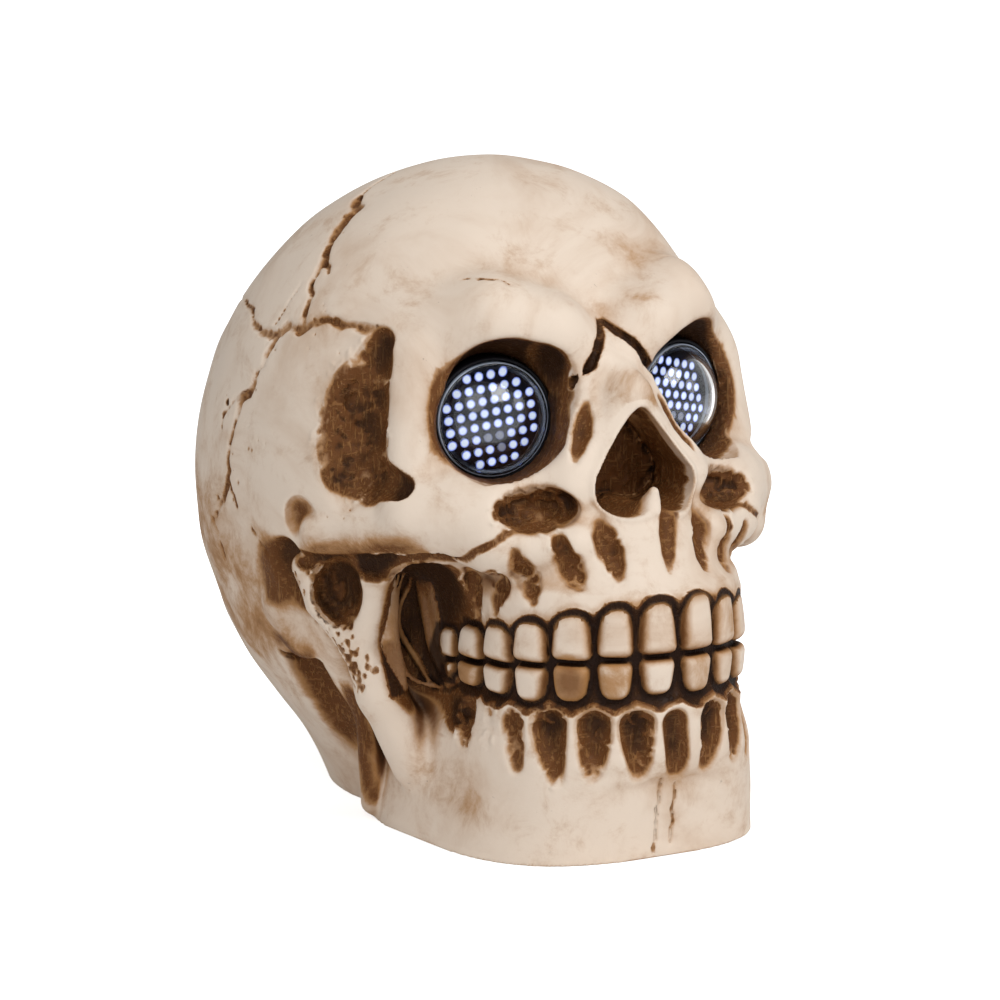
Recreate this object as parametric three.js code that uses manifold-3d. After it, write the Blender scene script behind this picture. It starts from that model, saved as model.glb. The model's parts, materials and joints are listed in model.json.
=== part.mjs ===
import * as THREE from 'three';
import { mergeVertices } from 'three/addons/utils/BufferGeometryUtils.js';
import Module from 'manifold-3d';

// Light-up skull ornament: one resin casting with two lit eyes and a battery unit in its base.
// Millimetres, +Z up, the face looks along -Y, the underside of the casting stands on Z = 0.

const wasm = await Module();
wasm.setup();

// Whole object
const CENTRE_SHIFT_Y = 3.7;
const FIT_GAP = 0.3;

// Skull casting: main proportions
const CRANIUM_HALF_WIDTH = 60;
const CRANIUM_FRONT_LENGTH = 56;
const CRANIUM_BACK_LENGTH = 61;
const CRANIUM_HALF_HEIGHT = 68.5;
const CRANIUM_CENTRE_Y = 8;
const CRANIUM_CENTRE_Z = 76;
const CRANIUM_LEAN = 0.09;
const FOREHEAD_SQUARENESS = 2.35;
const BACK_SQUARENESS = 2.3;
const NECK_HALF_WIDTH = 28;
const NECK_HALF_LENGTH = 38;
const NECK_CENTRE_Y = 12;
const NECK_TOP_Z = 44;
const JAW_HALF_WIDTH = 37;
const JAW_FRONT_Y = -69.5;
const JAW_MIDDLE_Y = -31;
const JAW_BACK_Y = -1;
const JAW_TOP_Z = 31;
const JAW_LEAN = 0.16;

// Tooth rows
const ARCH_RADIUS = 29.7;
const ARCH_CENTRE_Y = -47;
const ARCH_BACK_Y = -18;
const BITE_Z = 45.9;
const BITE_FALL = 0.13;
const BITE_GAP = 1.1;
const UPPER_TOOTH_HEIGHT = 12.1;
const LOWER_TOOTH_HEIGHT = 8.8;
const TOOTH_SHORTENING = 0.008;
const TOOTH_WIDTHS = [10.4, 9.4, 10.4, 10, 11, 10.5, 7.5];
const TOOTH_GAP = 2.3;
const TOOTH_LEAN_DEG = 5;
const TOOTH_RELIEF = 2.1;

// Eyes
const EYE_SPACING = 47;
const EYE_Y = -37.5;
const EYE_Z = 93.4;
const EYE_TURN_OUT_DEG = 14;
const LENS_DIAMETER = 25;
const LENS_RIM_WIDTH = 0.6;
const LENS_RIM_THICKNESS = 1.4;
const LENS_DOME_HEIGHT = 7.2;
const LENS_WALL = 0.8;
const PLATE_DIAMETER = 23;
const PLATE_THICKNESS = 1;
const DOT_DIAMETER = 1.75;
const DOT_PITCH = 2.65;
const DOT_EDGE = 0.4;
const CUP_WALL = 0.7;
const CUP_FLOOR = 2;
const LIGHT_CHAMBER_DEPTH = 8;
const DIFFUSER_THICKNESS = 1.5;
const LEDGE_WIDTH = 1.1;
const BOARD_THICKNESS = 1.2;
const LED_DIAMETER = 5;
const LED_HEIGHT = 6.2;
const LEAD_WIDTH = 2.2;
const LEAD_THICKNESS = 1.2;
const LEAD_HOLE_DIAMETER = 4;

// Battery unit
const BOX_WIDTH = 44;
const BOX_LENGTH = 26;
const BOX_CENTRE_Y = -8;
const BOX_BOTTOM_Z = 0.8;
const BOX_TOP_Z = 18;
const CELL_DIAMETER = 11.6;
const CELL_THICKNESS = 5.4;
const CELL_COUNT = 3;
const CONTACT_THICKNESS = 0.5;
const SPRING_LENGTH = 2.9;
const BAY_END_WALL = 4.3;
const DOOR_PLATE_THICKNESS = 1.1;
const DOOR_FACE_THICKNESS = 0.8;
const DOOR_LIP = 2;
const DOOR_TRAVEL = 14;
const SWITCH_END_WALL = 5;
const SWITCH_WIDTH = 6;
const SWITCH_LENGTH = 12.4;
const SWITCH_HEIGHT = 6;
const KNOB_WIDTH = 2.8;
const KNOB_LENGTH = 3.4;
const KNOB_TRAVEL = 3.4;

// Facets of the casting's skin
const SKIN_CELL = 2;
const SKIN_MARGIN = 9;
const SKIN_TRIANGLES = 6000;

// Forms of the blended bone: each gives a distance from its surface, negative inside.
// A form is placed on the +X side and serves both sides.
function ball(centre, radii) {
  const [cx, cy, cz] = centre;
  const [rx, ry, rz] = radii;
  return (x, y, z) => {
    const px = (x - cx) / rx;
    const py = (y - cy) / ry;
    const pz = (z - cz) / rz;
    const near = Math.hypot(px, py, pz);
    const slope = Math.hypot(px / rx, py / ry, pz / rz);
    return slope < 1e-9 ? -Math.min(rx, ry, rz) : (near * (near - 1)) / slope;
  };
}

function rod(from, to, radiusFrom, radiusTo) {
  const start = new THREE.Vector3(...from);
  const run = new THREE.Vector3(...to).sub(start);
  const length2 = run.lengthSq();
  return (x, y, z) => {
    const px = x - start.x;
    const py = y - start.y;
    const pz = z - start.z;
    const t = THREE.MathUtils.clamp((px * run.x + py * run.y + pz * run.z) / length2, 0, 1);
    const near = Math.hypot(px - run.x * t, py - run.y * t, pz - run.z * t);
    return near - THREE.MathUtils.lerp(radiusFrom, radiusTo, t);
  };
}

function join(a, b, soft) {
  const h = Math.max(soft - Math.abs(a - b), 0) / soft;
  return Math.min(a, b) - h * h * soft * 0.25;
}

function carve(a, b, soft) {
  return -join(-a, b, soft);
}

function cranium(x, y, z) {
  const px = x / CRANIUM_HALF_WIDTH;
  const pz = (z - CRANIUM_CENTRE_Z) / CRANIUM_HALF_HEIGHT;
  const dy = y - CRANIUM_CENTRE_Y + CRANIUM_LEAN * (z - CRANIUM_CENTRE_Z);
  const py = dy < 0 ? -dy / CRANIUM_FRONT_LENGTH : dy / CRANIUM_BACK_LENGTH;
  const power = dy < 0 ? FOREHEAD_SQUARENESS : BACK_SQUARENESS;
  const plan = Math.pow(px ** power + py ** power, 1 / power);
  return (Math.hypot(plan, pz) - 1) * CRANIUM_HALF_WIDTH;
}

function neckBlock(x, y, z) {
  const grow = Math.max(z, 0);
  const px = x / (NECK_HALF_WIDTH + 0.5 * grow);
  const py = (y - NECK_CENTRE_Y) / (NECK_HALF_LENGTH + 0.2 * grow);
  return -join(-(Math.hypot(px, py) - 1) * NECK_HALF_WIDTH, NECK_TOP_Z - z, 14);
}

function jawBlock(x, y, z) {
  const lean = JAW_LEAN * Math.max(z, 0);
  const dy = y - JAW_MIDDLE_Y;
  const py = dy < 0 ? dy / (JAW_FRONT_Y - JAW_MIDDLE_Y - lean) : dy / (JAW_BACK_Y - JAW_MIDDLE_Y);
  const power = dy < 0 ? 2.8 : 5;
  const ring = Math.pow((x / (JAW_HALF_WIDTH - lean)) ** power + py ** power, 1 / power);
  return -join(-(ring - 1) * JAW_HALF_WIDTH, JAW_TOP_Z - z, 10);
}

// Rods end to end: each place has its own radius
function path(places) {
  const parts = places.slice(1).map((b, n) => {
    const a = places[n];
    return rod(a.slice(0, 3), b.slice(0, 3), a[3], b[3]);
  });
  return (x, y, z) => Math.min(...parts.map((part) => part(x, y, z)));
}

// Length along the tooth rows from the middle plane
function archRun(x, y) {
  const quarter = (ARCH_RADIUS * Math.PI) / 2;
  if (y >= ARCH_CENTRE_Y) return quarter + y - ARCH_CENTRE_Y;
  return Math.atan2(x, ARCH_CENTRE_Y - y) * ARCH_RADIUS;
}

function archPlace(along) {
  const quarter = (ARCH_RADIUS * Math.PI) / 2;
  const turn = Math.min(along, quarter) / ARCH_RADIUS;
  const back = Math.max(along - quarter, 0);
  const outward = new THREE.Vector3(Math.sin(turn), -Math.cos(turn), 0);
  const origin = outward.clone().multiplyScalar(ARCH_RADIUS);
  origin.y += ARCH_CENTRE_Y + back;
  return { origin, outward };
}

function biteHeight(along) {
  const { origin } = archPlace(along);
  return BITE_Z - BITE_FALL * (origin.y - ARCH_CENTRE_Y + ARCH_RADIUS);
}

function crownHeight(rowHeight, along) {
  return rowHeight * (1 - TOOTH_SHORTENING * along);
}

// Wall that follows the tooth rows: a half circle in front with straight sides behind it.
// Its lower and upper edges are given by the length along the rows.
function archWall(radius, taper, lowAt, highAt, soft) {
  const foot = lowAt(0);
  return (x, y, z) => {
    const run = archRun(x, y);
    const side = Math.hypot(x, Math.min(y - ARCH_CENTRE_Y, 0)) - radius + taper * Math.max(z - foot, 0);
    const wall = Math.max(side, y - ARCH_BACK_Y);
    return -join(-wall, -Math.max(lowAt(run) - z, z - highAt(run)), soft);
  };
}

const gumOver = (along) => biteHeight(along) + crownHeight(UPPER_TOOTH_HEIGHT, along) + 0.9;
const gumUnder = (along) => biteHeight(along) - crownHeight(LOWER_TOOTH_HEIGHT, along) - 2.6;
const toothWall = archWall(ARCH_RADIUS - TOOTH_RELIEF, 0, () => 24, () => 66, 2);
const upperGum = archWall(ARCH_RADIUS - 0.9, 0.62, gumOver, () => 76, 1.6);
const lowerGum = archWall(ARCH_RADIUS - 0.6, 0, () => 22, gumUnder, 1.8);

// Bone that is added, on the +X side
const maxilla = ball([0, -45, 66], [22, 24, 20]);
const browInner = rod([4, -44, 107], [13, -43.5, 112.5], 5.2, 6.2);
const browMiddle = rod([13, -43.5, 112.5], [24, -38.5, 116.5], 6.2, 6.4);
const browOuter = rod([24, -38.5, 116.5], [37, -25.5, 109], 6.4, 5.5);
const nasalBone = rod([0, -42, 108], [0, -57.5, 100.2], 4.4, 2.6);
const noseSide = rod([4, -47, 104], [14.2, -56, 80], 4.4, 5);
const noseRoof = rod([1.6, -56, 98.5], [9.6, -57, 82], 3.4, 3.4);
const orbitSide = rod([38.5, -28, 107.5], [40.5, -32, 80], 5.4, 6.2);
const cheekBone = rod([42, -36, 73], [31, -47, 73], 7.6, 7.5);
const underEye = rod([34, -43, 77], [13, -52, 82], 6, 5);
const cheekPillar = rod([29, -46, 70], [19, -55, 63], 6.5, 4.5);
const noseSpine = rod([0, -54, 73], [0, -61.5, 79], 2.6, 1);
const cheekArch = rod([52.4, -15, 67.8], [42, -36, 72.5], 5.2, 6.6);
const mastoid = rod([50, 2, 50], [48.8, -2, 42.5], 6.6, 4.8);
const jawPlate = rod([35, -7, 4], [39, -9.5, 42], 3, 3);
const condyle = rod([53.5, -10, 59.5], [51.4, -12.8, 52], 3.5, 3.5);
const condyleNeck = rod([51.4, -12.8, 52], [46, -18, 44], 3.5, 4.2);
const coronoid = rod([44.2, -25, 59], [45.2, -20.5, 46], 3.6, 3.9);
const branch = rod([46, -18.5, 44], [41.5, -20.8, 32], 4.4, 4.7);
const branchFoot = rod([41.5, -20.8, 32], [33.5, -23, 16], 4.7, 6);

// Hollows that are carved, on the +X side
const templeSlope = ball([53, -27, 92], [8, 12, 20]);
const temple = path([[48.5, -22.5, 108, 4.6], [50.6, -24.6, 100, 6.2], [50.9, -25.4, 90, 6.6],
  [50.2, -26.8, 82.5, 5.6], [46.8, -34.6, 80.2, 3.4]]);
const underArch = path([[56, -12, 61.5, 1.8], [51.5, -21, 61.2, 2.2], [45.5, -31, 62, 3.6],
  [38.5, -41, 64.2, 3]]);
const behindCondyle = rod([57.6, -6.5, 61], [56.2, -8.5, 51.5], 4.8, 4.4);
const behindJaw = rod([46, 1, 34], [37, 2, 14], 4.5, 4.5);
const earDent = ball([58.2, -14, 70.8], [3.4, 5.6, 5.6]);
const cheekHollow = ball([37.5, -34.5, 44], [10, 17, 19]);
const jawNotch = ball([51.2, -18.8, 55], [5.2, 6.2, 7.6]);
const orbit = ball([25.2, -47.5, 96.2], [12.6, 17, 16]);
const orbitCorner = ball([18.6, -48, 102], [8.4, 11, 8.4]);
const cheekFossa = ball([24.5, -57, 76.6], [10, 6.8, 5]);
const noseEdge = rod([0, 0, 97.6], [5.7, 0, 80.7], 0.8, 6.3);

// Blend width: wide on the face, narrow at the edge of the temple
function crispBehind(y) {
  return THREE.MathUtils.lerp(0.9, 5.5, THREE.MathUtils.smoothstep(-28 - y, 0, 8));
}

function noseHole(x, y, z) {
  return Math.max(noseEdge(x, 0, z), y + 46);
}

function bulk(x, y, z) {
  let d = cranium(x, y, z);
  d = join(d, neckBlock(x, y, z), 8);
  d = join(d, maxilla(x, y, z), 8);
  d = join(d, toothWall(x, y, z), 4);
  d = join(d, browInner(x, y, z), 5);
  d = join(d, browMiddle(x, y, z), 5);
  d = join(d, browOuter(x, y, z), 5);
  d = join(d, nasalBone(x, y, z), 4);
  d = join(d, noseSide(x, y, z), 5);
  d = join(d, noseRoof(x, y, z), 4);
  d = carve(d, templeSlope(x, y, z), 4);
  d = carve(d, behindCondyle(x, y, z), 2);
  d = carve(d, behindJaw(x, y, z), 5);
  d = join(d, orbitSide(x, y, z), crispBehind(y));
  d = join(d, underEye(x, y, z), 6);
  d = join(d, cheekBone(x, y, z), crispBehind(y));
  d = join(d, cheekPillar(x, y, z), 7);
  d = join(d, upperGum(x, y, z), 4);
  d = join(d, jawBlock(x, y, z), 4);
  d = join(d, lowerGum(x, y, z), 3);
  d = carve(d, cheekHollow(x, y, z), 3);
  d = carve(d, earDent(x, y, z), 1);
  d = join(d, cheekArch(x, y, z), 1.4);
  d = carve(d, temple(x, y, z), 1);
  d = join(d, mastoid(x, y, z), 2.5);
  d = join(d, jawPlate(x, y, z), 2);
  d = join(d, condyle(x, y, z), 1);
  d = join(d, condyleNeck(x, y, z), 1);
  d = join(d, coronoid(x, y, z), 1);
  d = join(d, branch(x, y, z), 1.6);
  d = join(d, branchFoot(x, y, z), 3);
  d = carve(d, underArch(x, y, z), 1);
  d = carve(d, jawNotch(x, y, z), 1);
  d = carve(d, orbit(x, y, z), 1.8);
  d = carve(d, orbitCorner(x, y, z), 1.8);
  d = carve(d, cheekFossa(x, y, z), 1.2);
  d = carve(d, noseHole(x, y, z), 1);
  return join(d, noseSpine(x, y, z), 2);
}

// A point near the bone brought onto its surface and lifted off it by a little
function onSkin(place, lift) {
  const spot = new THREE.Vector3(...place);
  const slope = new THREE.Vector3();
  const at = (x, y, z) => bulk(Math.abs(x), y, z);
  const e = 0.1;
  for (let pass = 0; pass < 6; pass++) {
    const d = at(spot.x, spot.y, spot.z);
    slope.set(
      at(spot.x + e, spot.y, spot.z) - d,
      at(spot.x, spot.y + e, spot.z) - d,
      at(spot.x, spot.y, spot.z + e) - d,
    ).normalize();
    spot.addScaledVector(slope, -d);
  }
  return spot.addScaledVector(slope, lift).toArray();
}

// Leaf-shaped groove that follows the surface
function groove([from, to, radius]) {
  const places = [0.4, 0.85, 1, 0.8, 0.4].map((share, n) => {
    const spot = new THREE.Vector3(...from).lerp(new THREE.Vector3(...to), n / 4);
    return [...onSkin(spot.toArray(), 0.3 * share * radius), share * radius];
  });
  return path(places);
}

function scoop([from, to, radiusFrom, radiusTo]) {
  return rod(onSkin(from, 0.32 * radiusFrom), onSkin(to, 0.5 * radiusTo), radiusFrom, radiusTo);
}

const pairedGrooves = [
  [[12, -64, 72], [11.4, -70.2, 63.4], 2.9],
  [[20.2, -58.6, 70.4], [18.8, -64.8, 62], 2.9],
  [[28.3, -56, 67], [25.6, -58.2, 58], 2.8],
  [[31.5, -51.2, 64], [27.6, -47.8, 54.5], 2.8],
  [[10.2, -54.6, 98], [14.8, -57.4, 86], 2.4],
].map(groove);
const pairedScoops = [
  [[9.9, -74.6, 31], [8.2, -73.6, 20.5], 4.2, 3],
  [[18.1, -70.4, 31], [18.6, -70.5, 21.5], 3.9, 3.2],
  [[24.3, -63.4, 31], [24.6, -65.6, 20.5], 4.2, 2.6],
  [[28.4, -55.4, 30.2], [29.6, -57.6, 22.5], 3.2, 2.4],
  [[29.2, -38.2, 29.5], [31, -41, 24.5], 2.9, 2.2],
].map(scoop);
const frown = path([
  [...onSkin([0, -44.5, 114], 0), 1.6],
  [...onSkin([4.4, -49.6, 109], 0), 1.6],
  [...onSkin([9.6, -49.5, 102], 0), 1.6],
]);
const middleGroove = groove([[-1.2, -62.5, 80], [-2.2, -71.5, 66], 2.7]);
const middleScoop = scoop([[-1.2, -75.6, 31], [0.8, -74.2, 20], 3.6, 2.6]);

function bone(signedX, y, z) {
  const x = Math.abs(signedX);
  let d = bulk(x, y, z);
  for (const cut of pairedGrooves) d = carve(d, cut(x, y, z), 1);
  for (const cut of pairedScoops) d = carve(d, cut(x, y, z), 1);
  d = carve(d, frown(x, y, z), 1);
  d = carve(d, middleGroove(signedX, y, z), 1);
  d = carve(d, middleScoop(signedX, y, z), 1);
  return Math.max(d, -SKIN_MARGIN / 2 - z);
}

// Closed skin of a field, with one vertex in every grid cell that the surface passes through.
function skin(field) {
  const half = CRANIUM_HALF_WIDTH + SKIN_MARGIN;
  const front = Math.min(JAW_FRONT_Y, ARCH_CENTRE_Y - ARCH_RADIUS) - SKIN_MARGIN;
  const back = CRANIUM_CENTRE_Y + CRANIUM_BACK_LENGTH + SKIN_MARGIN;
  const top = CRANIUM_CENTRE_Z + CRANIUM_HALF_HEIGHT + SKIN_MARGIN;
  const xs = gridLines(-half, half);
  const ys = gridLines(front, back);
  const zs = gridLines(-SKIN_MARGIN, top);
  const nx = xs.length;
  const ny = ys.length;
  const nz = zs.length;
  const at = (i, j, k) => i + nx * (j + ny * k);
  const corner = (i, j, k) => [xs[i], ys[j], zs[k]];
  const value = new Float64Array(nx * ny * nz);
  for (let k = 0; k < nz; k++) {
    for (let j = 0; j < ny; j++) {
      for (let i = 0; i < nx; i++) {
        const v = field(...corner(i, j, k));
        value[at(i, j, k)] = Math.abs(v) < 1e-3 ? 1e-3 : v;
      }
    }
  }
  separatePinches(value, nx, ny, nz, at);
  const positions = [];
  const cellVertex = new Int32Array(nx * ny * nz).fill(-1);
  const edges = [[0, 1], [2, 3], [4, 5], [6, 7], [0, 2], [1, 3], [4, 6], [5, 7], [0, 4], [1, 5], [2, 6], [3, 7]];
  for (let k = 0; k < nz - 1; k++) {
    for (let j = 0; j < ny - 1; j++) {
      for (let i = 0; i < nx - 1; i++) {
        const middle = new THREE.Vector3();
        let crossings = 0;
        const place = [];
        const level = [];
        for (let n = 0; n < 8; n++) {
          const [a, b, c] = [i + (n & 1), j + ((n >> 1) & 1), k + ((n >> 2) & 1)];
          place.push(new THREE.Vector3(...corner(a, b, c)));
          level.push(value[at(a, b, c)]);
        }
        for (const [a, b] of edges) {
          if (level[a] < 0 === level[b] < 0) continue;
          const t = level[a] / (level[a] - level[b]);
          middle.add(place[a].clone().lerp(place[b], t));
          crossings += 1;
        }
        if (crossings === 0) continue;
        middle.divideScalar(crossings);
        settle(field, middle, place);
        cellVertex[at(i, j, k)] = positions.length / 3;
        positions.push(middle.x, middle.y, middle.z);
      }
    }
  }
  const index = [];
  const point = (n) => new THREE.Vector3().fromArray(positions, 3 * n);
  const quad = (a, b, c, d, solidBehind) => {
    const [p, q, r, s] = solidBehind ? [a, b, c, d] : [a, d, c, b];
    if (point(p).distanceToSquared(point(r)) <= point(q).distanceToSquared(point(s))) {
      index.push(p, q, r, p, r, s);
    } else {
      index.push(q, r, s, q, s, p);
    }
  };
  for (let k = 1; k < nz - 1; k++) {
    for (let j = 1; j < ny - 1; j++) {
      for (let i = 1; i < nx - 1; i++) {
        const here = value[at(i, j, k)] < 0;
        const cell = (a, b, c) => cellVertex[at(i - a, j - b, k - c)];
        if (value[at(i + 1, j, k)] < 0 !== here) {
          quad(cell(0, 1, 1), cell(0, 0, 1), cell(0, 0, 0), cell(0, 1, 0), here);
        }
        if (value[at(i, j + 1, k)] < 0 !== here) {
          quad(cell(1, 0, 1), cell(1, 0, 0), cell(0, 0, 0), cell(0, 0, 1), here);
        }
        if (value[at(i, j, k + 1)] < 0 !== here) {
          quad(cell(1, 1, 0), cell(0, 1, 0), cell(0, 0, 0), cell(1, 0, 0), here);
        }
      }
    }
  }
  const geometry = new THREE.BufferGeometry();
  geometry.setAttribute('position', new THREE.Float32BufferAttribute(positions, 3));
  geometry.setIndex(index);
  return geometry;
}

function gridLines(from, to) {
  const count = Math.ceil((to - from) / SKIN_CELL);
  return Array.from({ length: count + 1 }, (_, n) => from + n * SKIN_CELL);
}

// Where solid meets solid only across a diagonal, the grid point nearest the surface becomes solid.
function separatePinches(value, nx, ny, nz, at) {
  const steps = [at(1, 0, 0), at(0, 1, 0), at(0, 0, 1)];
  const planes = [[0, 1], [0, 2], [1, 2]];
  const diagonals = [[0, 7], [1, 6], [2, 5], [3, 4]];
  const offset = (n) => (n & 1) * steps[0] + ((n >> 1) & 1) * steps[1] + ((n >> 2) & 1) * steps[2];
  const fill = (list) => {
    const empty = list.filter((n) => value[n] > 0);
    empty.sort((a, b) => value[a] - value[b]);
    value[empty[0]] = -1e-3;
  };
  let changed = true;
  while (changed) {
    changed = false;
    for (let k = 0; k < nz - 1; k++) {
      for (let j = 0; j < ny - 1; j++) {
        for (let i = 0; i < nx - 1; i++) {
          const base = at(i, j, k);
          for (const [u, v] of planes) {
            const face = [base, base + steps[u], base + steps[v], base + steps[u] + steps[v]];
            const solid = face.map((n) => value[n] < 0);
            if (solid[0] === solid[3] && solid[1] === solid[2] && solid[0] !== solid[1]) {
              fill(face);
              changed = true;
            }
          }
          const cube = [0, 1, 2, 3, 4, 5, 6, 7].map((n) => base + offset(n));
          const filled = cube.filter((n) => value[n] < 0).length;
          for (const [a, b] of diagonals) {
            const alike = value[cube[a]] < 0 === value[cube[b]] < 0;
            const alone = value[cube[a]] < 0 ? 2 : 6;
            if (alike && filled === alone) {
              fill(cube);
              changed = true;
            }
          }
        }
      }
    }
  }
}

// Moves a skin vertex onto the surface without letting it leave its own cell.
function settle(field, point, cellCorners) {
  const e = 0.05;
  const cell = new THREE.Box3().setFromPoints(cellCorners);
  cell.expandByVector(cell.getSize(new THREE.Vector3()).multiplyScalar(-0.08));
  for (let pass = 0; pass < 3; pass++) {
    const d = field(point.x, point.y, point.z);
    const slope = new THREE.Vector3(
      field(point.x + e, point.y, point.z) - d,
      field(point.x, point.y + e, point.z) - d,
      field(point.x, point.y, point.z + e) - d,
    ).divideScalar(e);
    point.addScaledVector(slope, (-0.8 * d) / Math.max(slope.lengthSq(), 0.25));
    cell.clampPoint(point, point);
  }
}

// Draws the skin with fewer triangles: short edges go first where the surface is nearly flat.
function thinned(geometry, target) {
  const spots = [];
  const p = geometry.attributes.position;
  for (let n = 0; n < p.count; n++) spots.push(new THREE.Vector3().fromBufferAttribute(p, n));
  let faces = [];
  for (let n = 0; n < geometry.index.count; n += 3) faces.push(Array.from(geometry.index.array.slice(n, n + 3)));
  const normalOf = (a, b, c) => new THREE.Vector3().subVectors(b, a).cross(new THREE.Vector3().subVectors(c, a));
  const flatness = spots.map(() => new Float64Array(10));
  for (const [a, b, c] of faces) {
    const normal = normalOf(spots[a], spots[b], spots[c]);
    const area = normal.length();
    normal.normalize();
    const plane = [normal.x, normal.y, normal.z, -normal.dot(spots[a])];
    for (const v of [a, b, c]) {
      let m = 0;
      for (let i = 0; i < 4; i++) {
        for (let j = i; j < 4; j++) flatness[v][m++] += area * plane[i] * plane[j];
      }
    }
  }
  const bend = (q, r, v) => {
    const at = [v.x, v.y, v.z, 1];
    let sum = 0;
    let m = 0;
    for (let i = 0; i < 4; i++) {
      for (let j = i; j < 4; j++, m++) sum += (i === j ? 1 : 2) * (q[m] + r[m]) * at[i] * at[j];
    }
    return sum;
  };
  for (let limit = 0.02; faces.length > target; limit *= 1.35) {
    const around = spots.map(() => []);
    faces.forEach((face, n) => face.forEach((v) => around[v].push(n)));
    const resting = new Uint8Array(spots.length);
    const gone = new Uint8Array(faces.length);
    let left = faces.length;
    for (let n = 0; n < faces.length && left > target; n++) {
      if (gone[n]) continue;
      for (let e = 0; e < 3; e++) {
        const a = faces[n][e];
        const b = faces[n][(e + 1) % 3];
        if (resting[a] || resting[b]) continue;
        const middle = spots[a].clone().add(spots[b]).multiplyScalar(0.5);
        const choices = [middle, spots[a], spots[b]];
        const costs = choices.map((v) => bend(flatness[a], flatness[b], v));
        const best = costs.indexOf(Math.min(...costs));
        const reach = spots[a].distanceToSquared(spots[b]);
        if (costs[best] + 2e-4 * reach * reach > limit) continue;
        const ringA = new Set(around[a].flatMap((f) => faces[f]));
        const ringB = new Set(around[b].flatMap((f) => faces[f]));
        const shared = [...ringA].filter((v) => v !== a && v !== b && ringB.has(v));
        if (shared.length !== 2) continue;
        const keeps = [...around[a], ...around[b]].every((f) => {
          if (faces[f].includes(a) && faces[f].includes(b)) return true;
          const before = faces[f].map((v) => spots[v]);
          const after = faces[f].map((v) => (v === a || v === b ? choices[best] : spots[v]));
          const was = normalOf(...before);
          const is = normalOf(...after);
          const longest = Math.max(...after.map((v, i) => v.distanceToSquared(after[(i + 1) % 3])));
          return was.dot(is) > 0.5 * was.length() * is.length() && is.length() > 0.18 * longest;
        });
        if (!keeps) continue;
        spots[a] = choices[best].clone();
        for (let m = 0; m < 10; m++) flatness[a][m] += flatness[b][m];
        for (const f of around[b]) {
          if (faces[f].includes(a)) {
            gone[f] = 1;
            left -= 1;
          } else {
            faces[f] = faces[f].map((v) => (v === b ? a : v));
          }
        }
        for (const v of [...ringA, ...ringB]) resting[v] = 1;
        break;
      }
    }
    faces = faces.filter((_, n) => !gone[n]);
  }
  const thin = new THREE.BufferGeometry();
  thin.setAttribute('position', new THREE.Float32BufferAttribute(spots.flatMap((v) => v.toArray()), 3));
  thin.setIndex(faces.flat());
  return thin;
}

// Solids: closed geometry in and out of the boolean operations
function solidOf(geometry) {
  const bare = geometry.clone();
  bare.deleteAttribute('normal');
  bare.deleteAttribute('uv');
  const welded = mergeVertices(bare, 1e-4);
  return new wasm.Manifold(new wasm.Mesh({
    numProp: 3,
    vertProperties: new Float32Array(welded.attributes.position.array),
    triVerts: new Uint32Array(welded.index.array),
  }));
}

function geometryOf(solid) {
  const mesh = solid.getMesh();
  const geometry = new THREE.BufferGeometry();
  geometry.setAttribute('position', new THREE.Float32BufferAttribute(mesh.vertProperties, 3));
  geometry.setIndex(Array.from(mesh.triVerts));
  return geometry;
}

function block(x0, x1, y0, y1, z0, z1) {
  const geometry = new THREE.BoxGeometry(x1 - x0, y1 - y0, z1 - z0);
  return geometry.translate((x0 + x1) / 2, (y0 + y1) / 2, (z0 + z1) / 2);
}

function turned(profile, segments) {
  return new THREE.LatheGeometry(profile.map(([r, h]) => new THREE.Vector2(r, h)), segments);
}

const group = new THREE.Group();
group.name = 'light_up_skull';

function addPart(name, geometry, colour, roughness, metalness) {
  const material = new THREE.MeshStandardMaterial({ color: colour, roughness, metalness });
  const placed = geometry.clone().translate(0, CENTRE_SHIFT_Y, 0);
  placed.computeVertexNormals();
  const mesh = new THREE.Mesh(placed, material);
  mesh.name = name;
  group.add(mesh);
}

// Teeth: pillow-shaped crowns set side by side along the arch
function crown(width, height, upward) {
  const w = width / 2;
  const neck = w * 0.8;
  const roundOver = 0.1 * Math.min(width, height);
  const shape = new THREE.Shape();
  shape.moveTo(-w, 0.2 * height);
  shape.lineTo(-0.7 * w, 0);
  shape.lineTo(0.7 * w, 0);
  shape.lineTo(w, 0.2 * height);
  shape.lineTo(neck, 0.82 * height);
  shape.lineTo(0.55 * neck, height);
  shape.lineTo(-0.55 * neck, height);
  shape.lineTo(-neck, 0.82 * height);
  const geometry = new THREE.ExtrudeGeometry(shape, {
    depth: 5,
    bevelThickness: 1.5,
    bevelSize: roundOver,
    bevelOffset: -roundOver,
    bevelSegments: 1,
  });
  geometry.translate(0, 0, -6.5).rotateX(THREE.MathUtils.degToRad(-TOOTH_LEAN_DEG));
  return upward ? geometry : geometry.rotateZ(Math.PI);
}

function toothRow(upward, rowHeight) {
  const crowns = [];
  let along = 0;
  for (const width of TOOTH_WIDTHS) {
    const middle = along + width / 2;
    const { origin, outward } = archPlace(middle);
    for (const side of [1, -1]) {
      const out = new THREE.Vector3(side * outward.x, outward.y, 0);
      const up = new THREE.Vector3(0, 0, 1);
      const across = new THREE.Vector3().crossVectors(up, out);
      const geometry = crown(width - TOOTH_GAP, crownHeight(rowHeight, middle), upward);
      const pose = new THREE.Matrix4().makeBasis(across, up, out);
      const edge = biteHeight(middle) + (upward ? BITE_GAP / 2 : -BITE_GAP / 2);
      pose.setPosition(side * origin.x, origin.y, edge);
      crowns.push(geometry.applyMatrix4(pose));
    }
    along += width;
  }
  return crowns;
}

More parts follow.
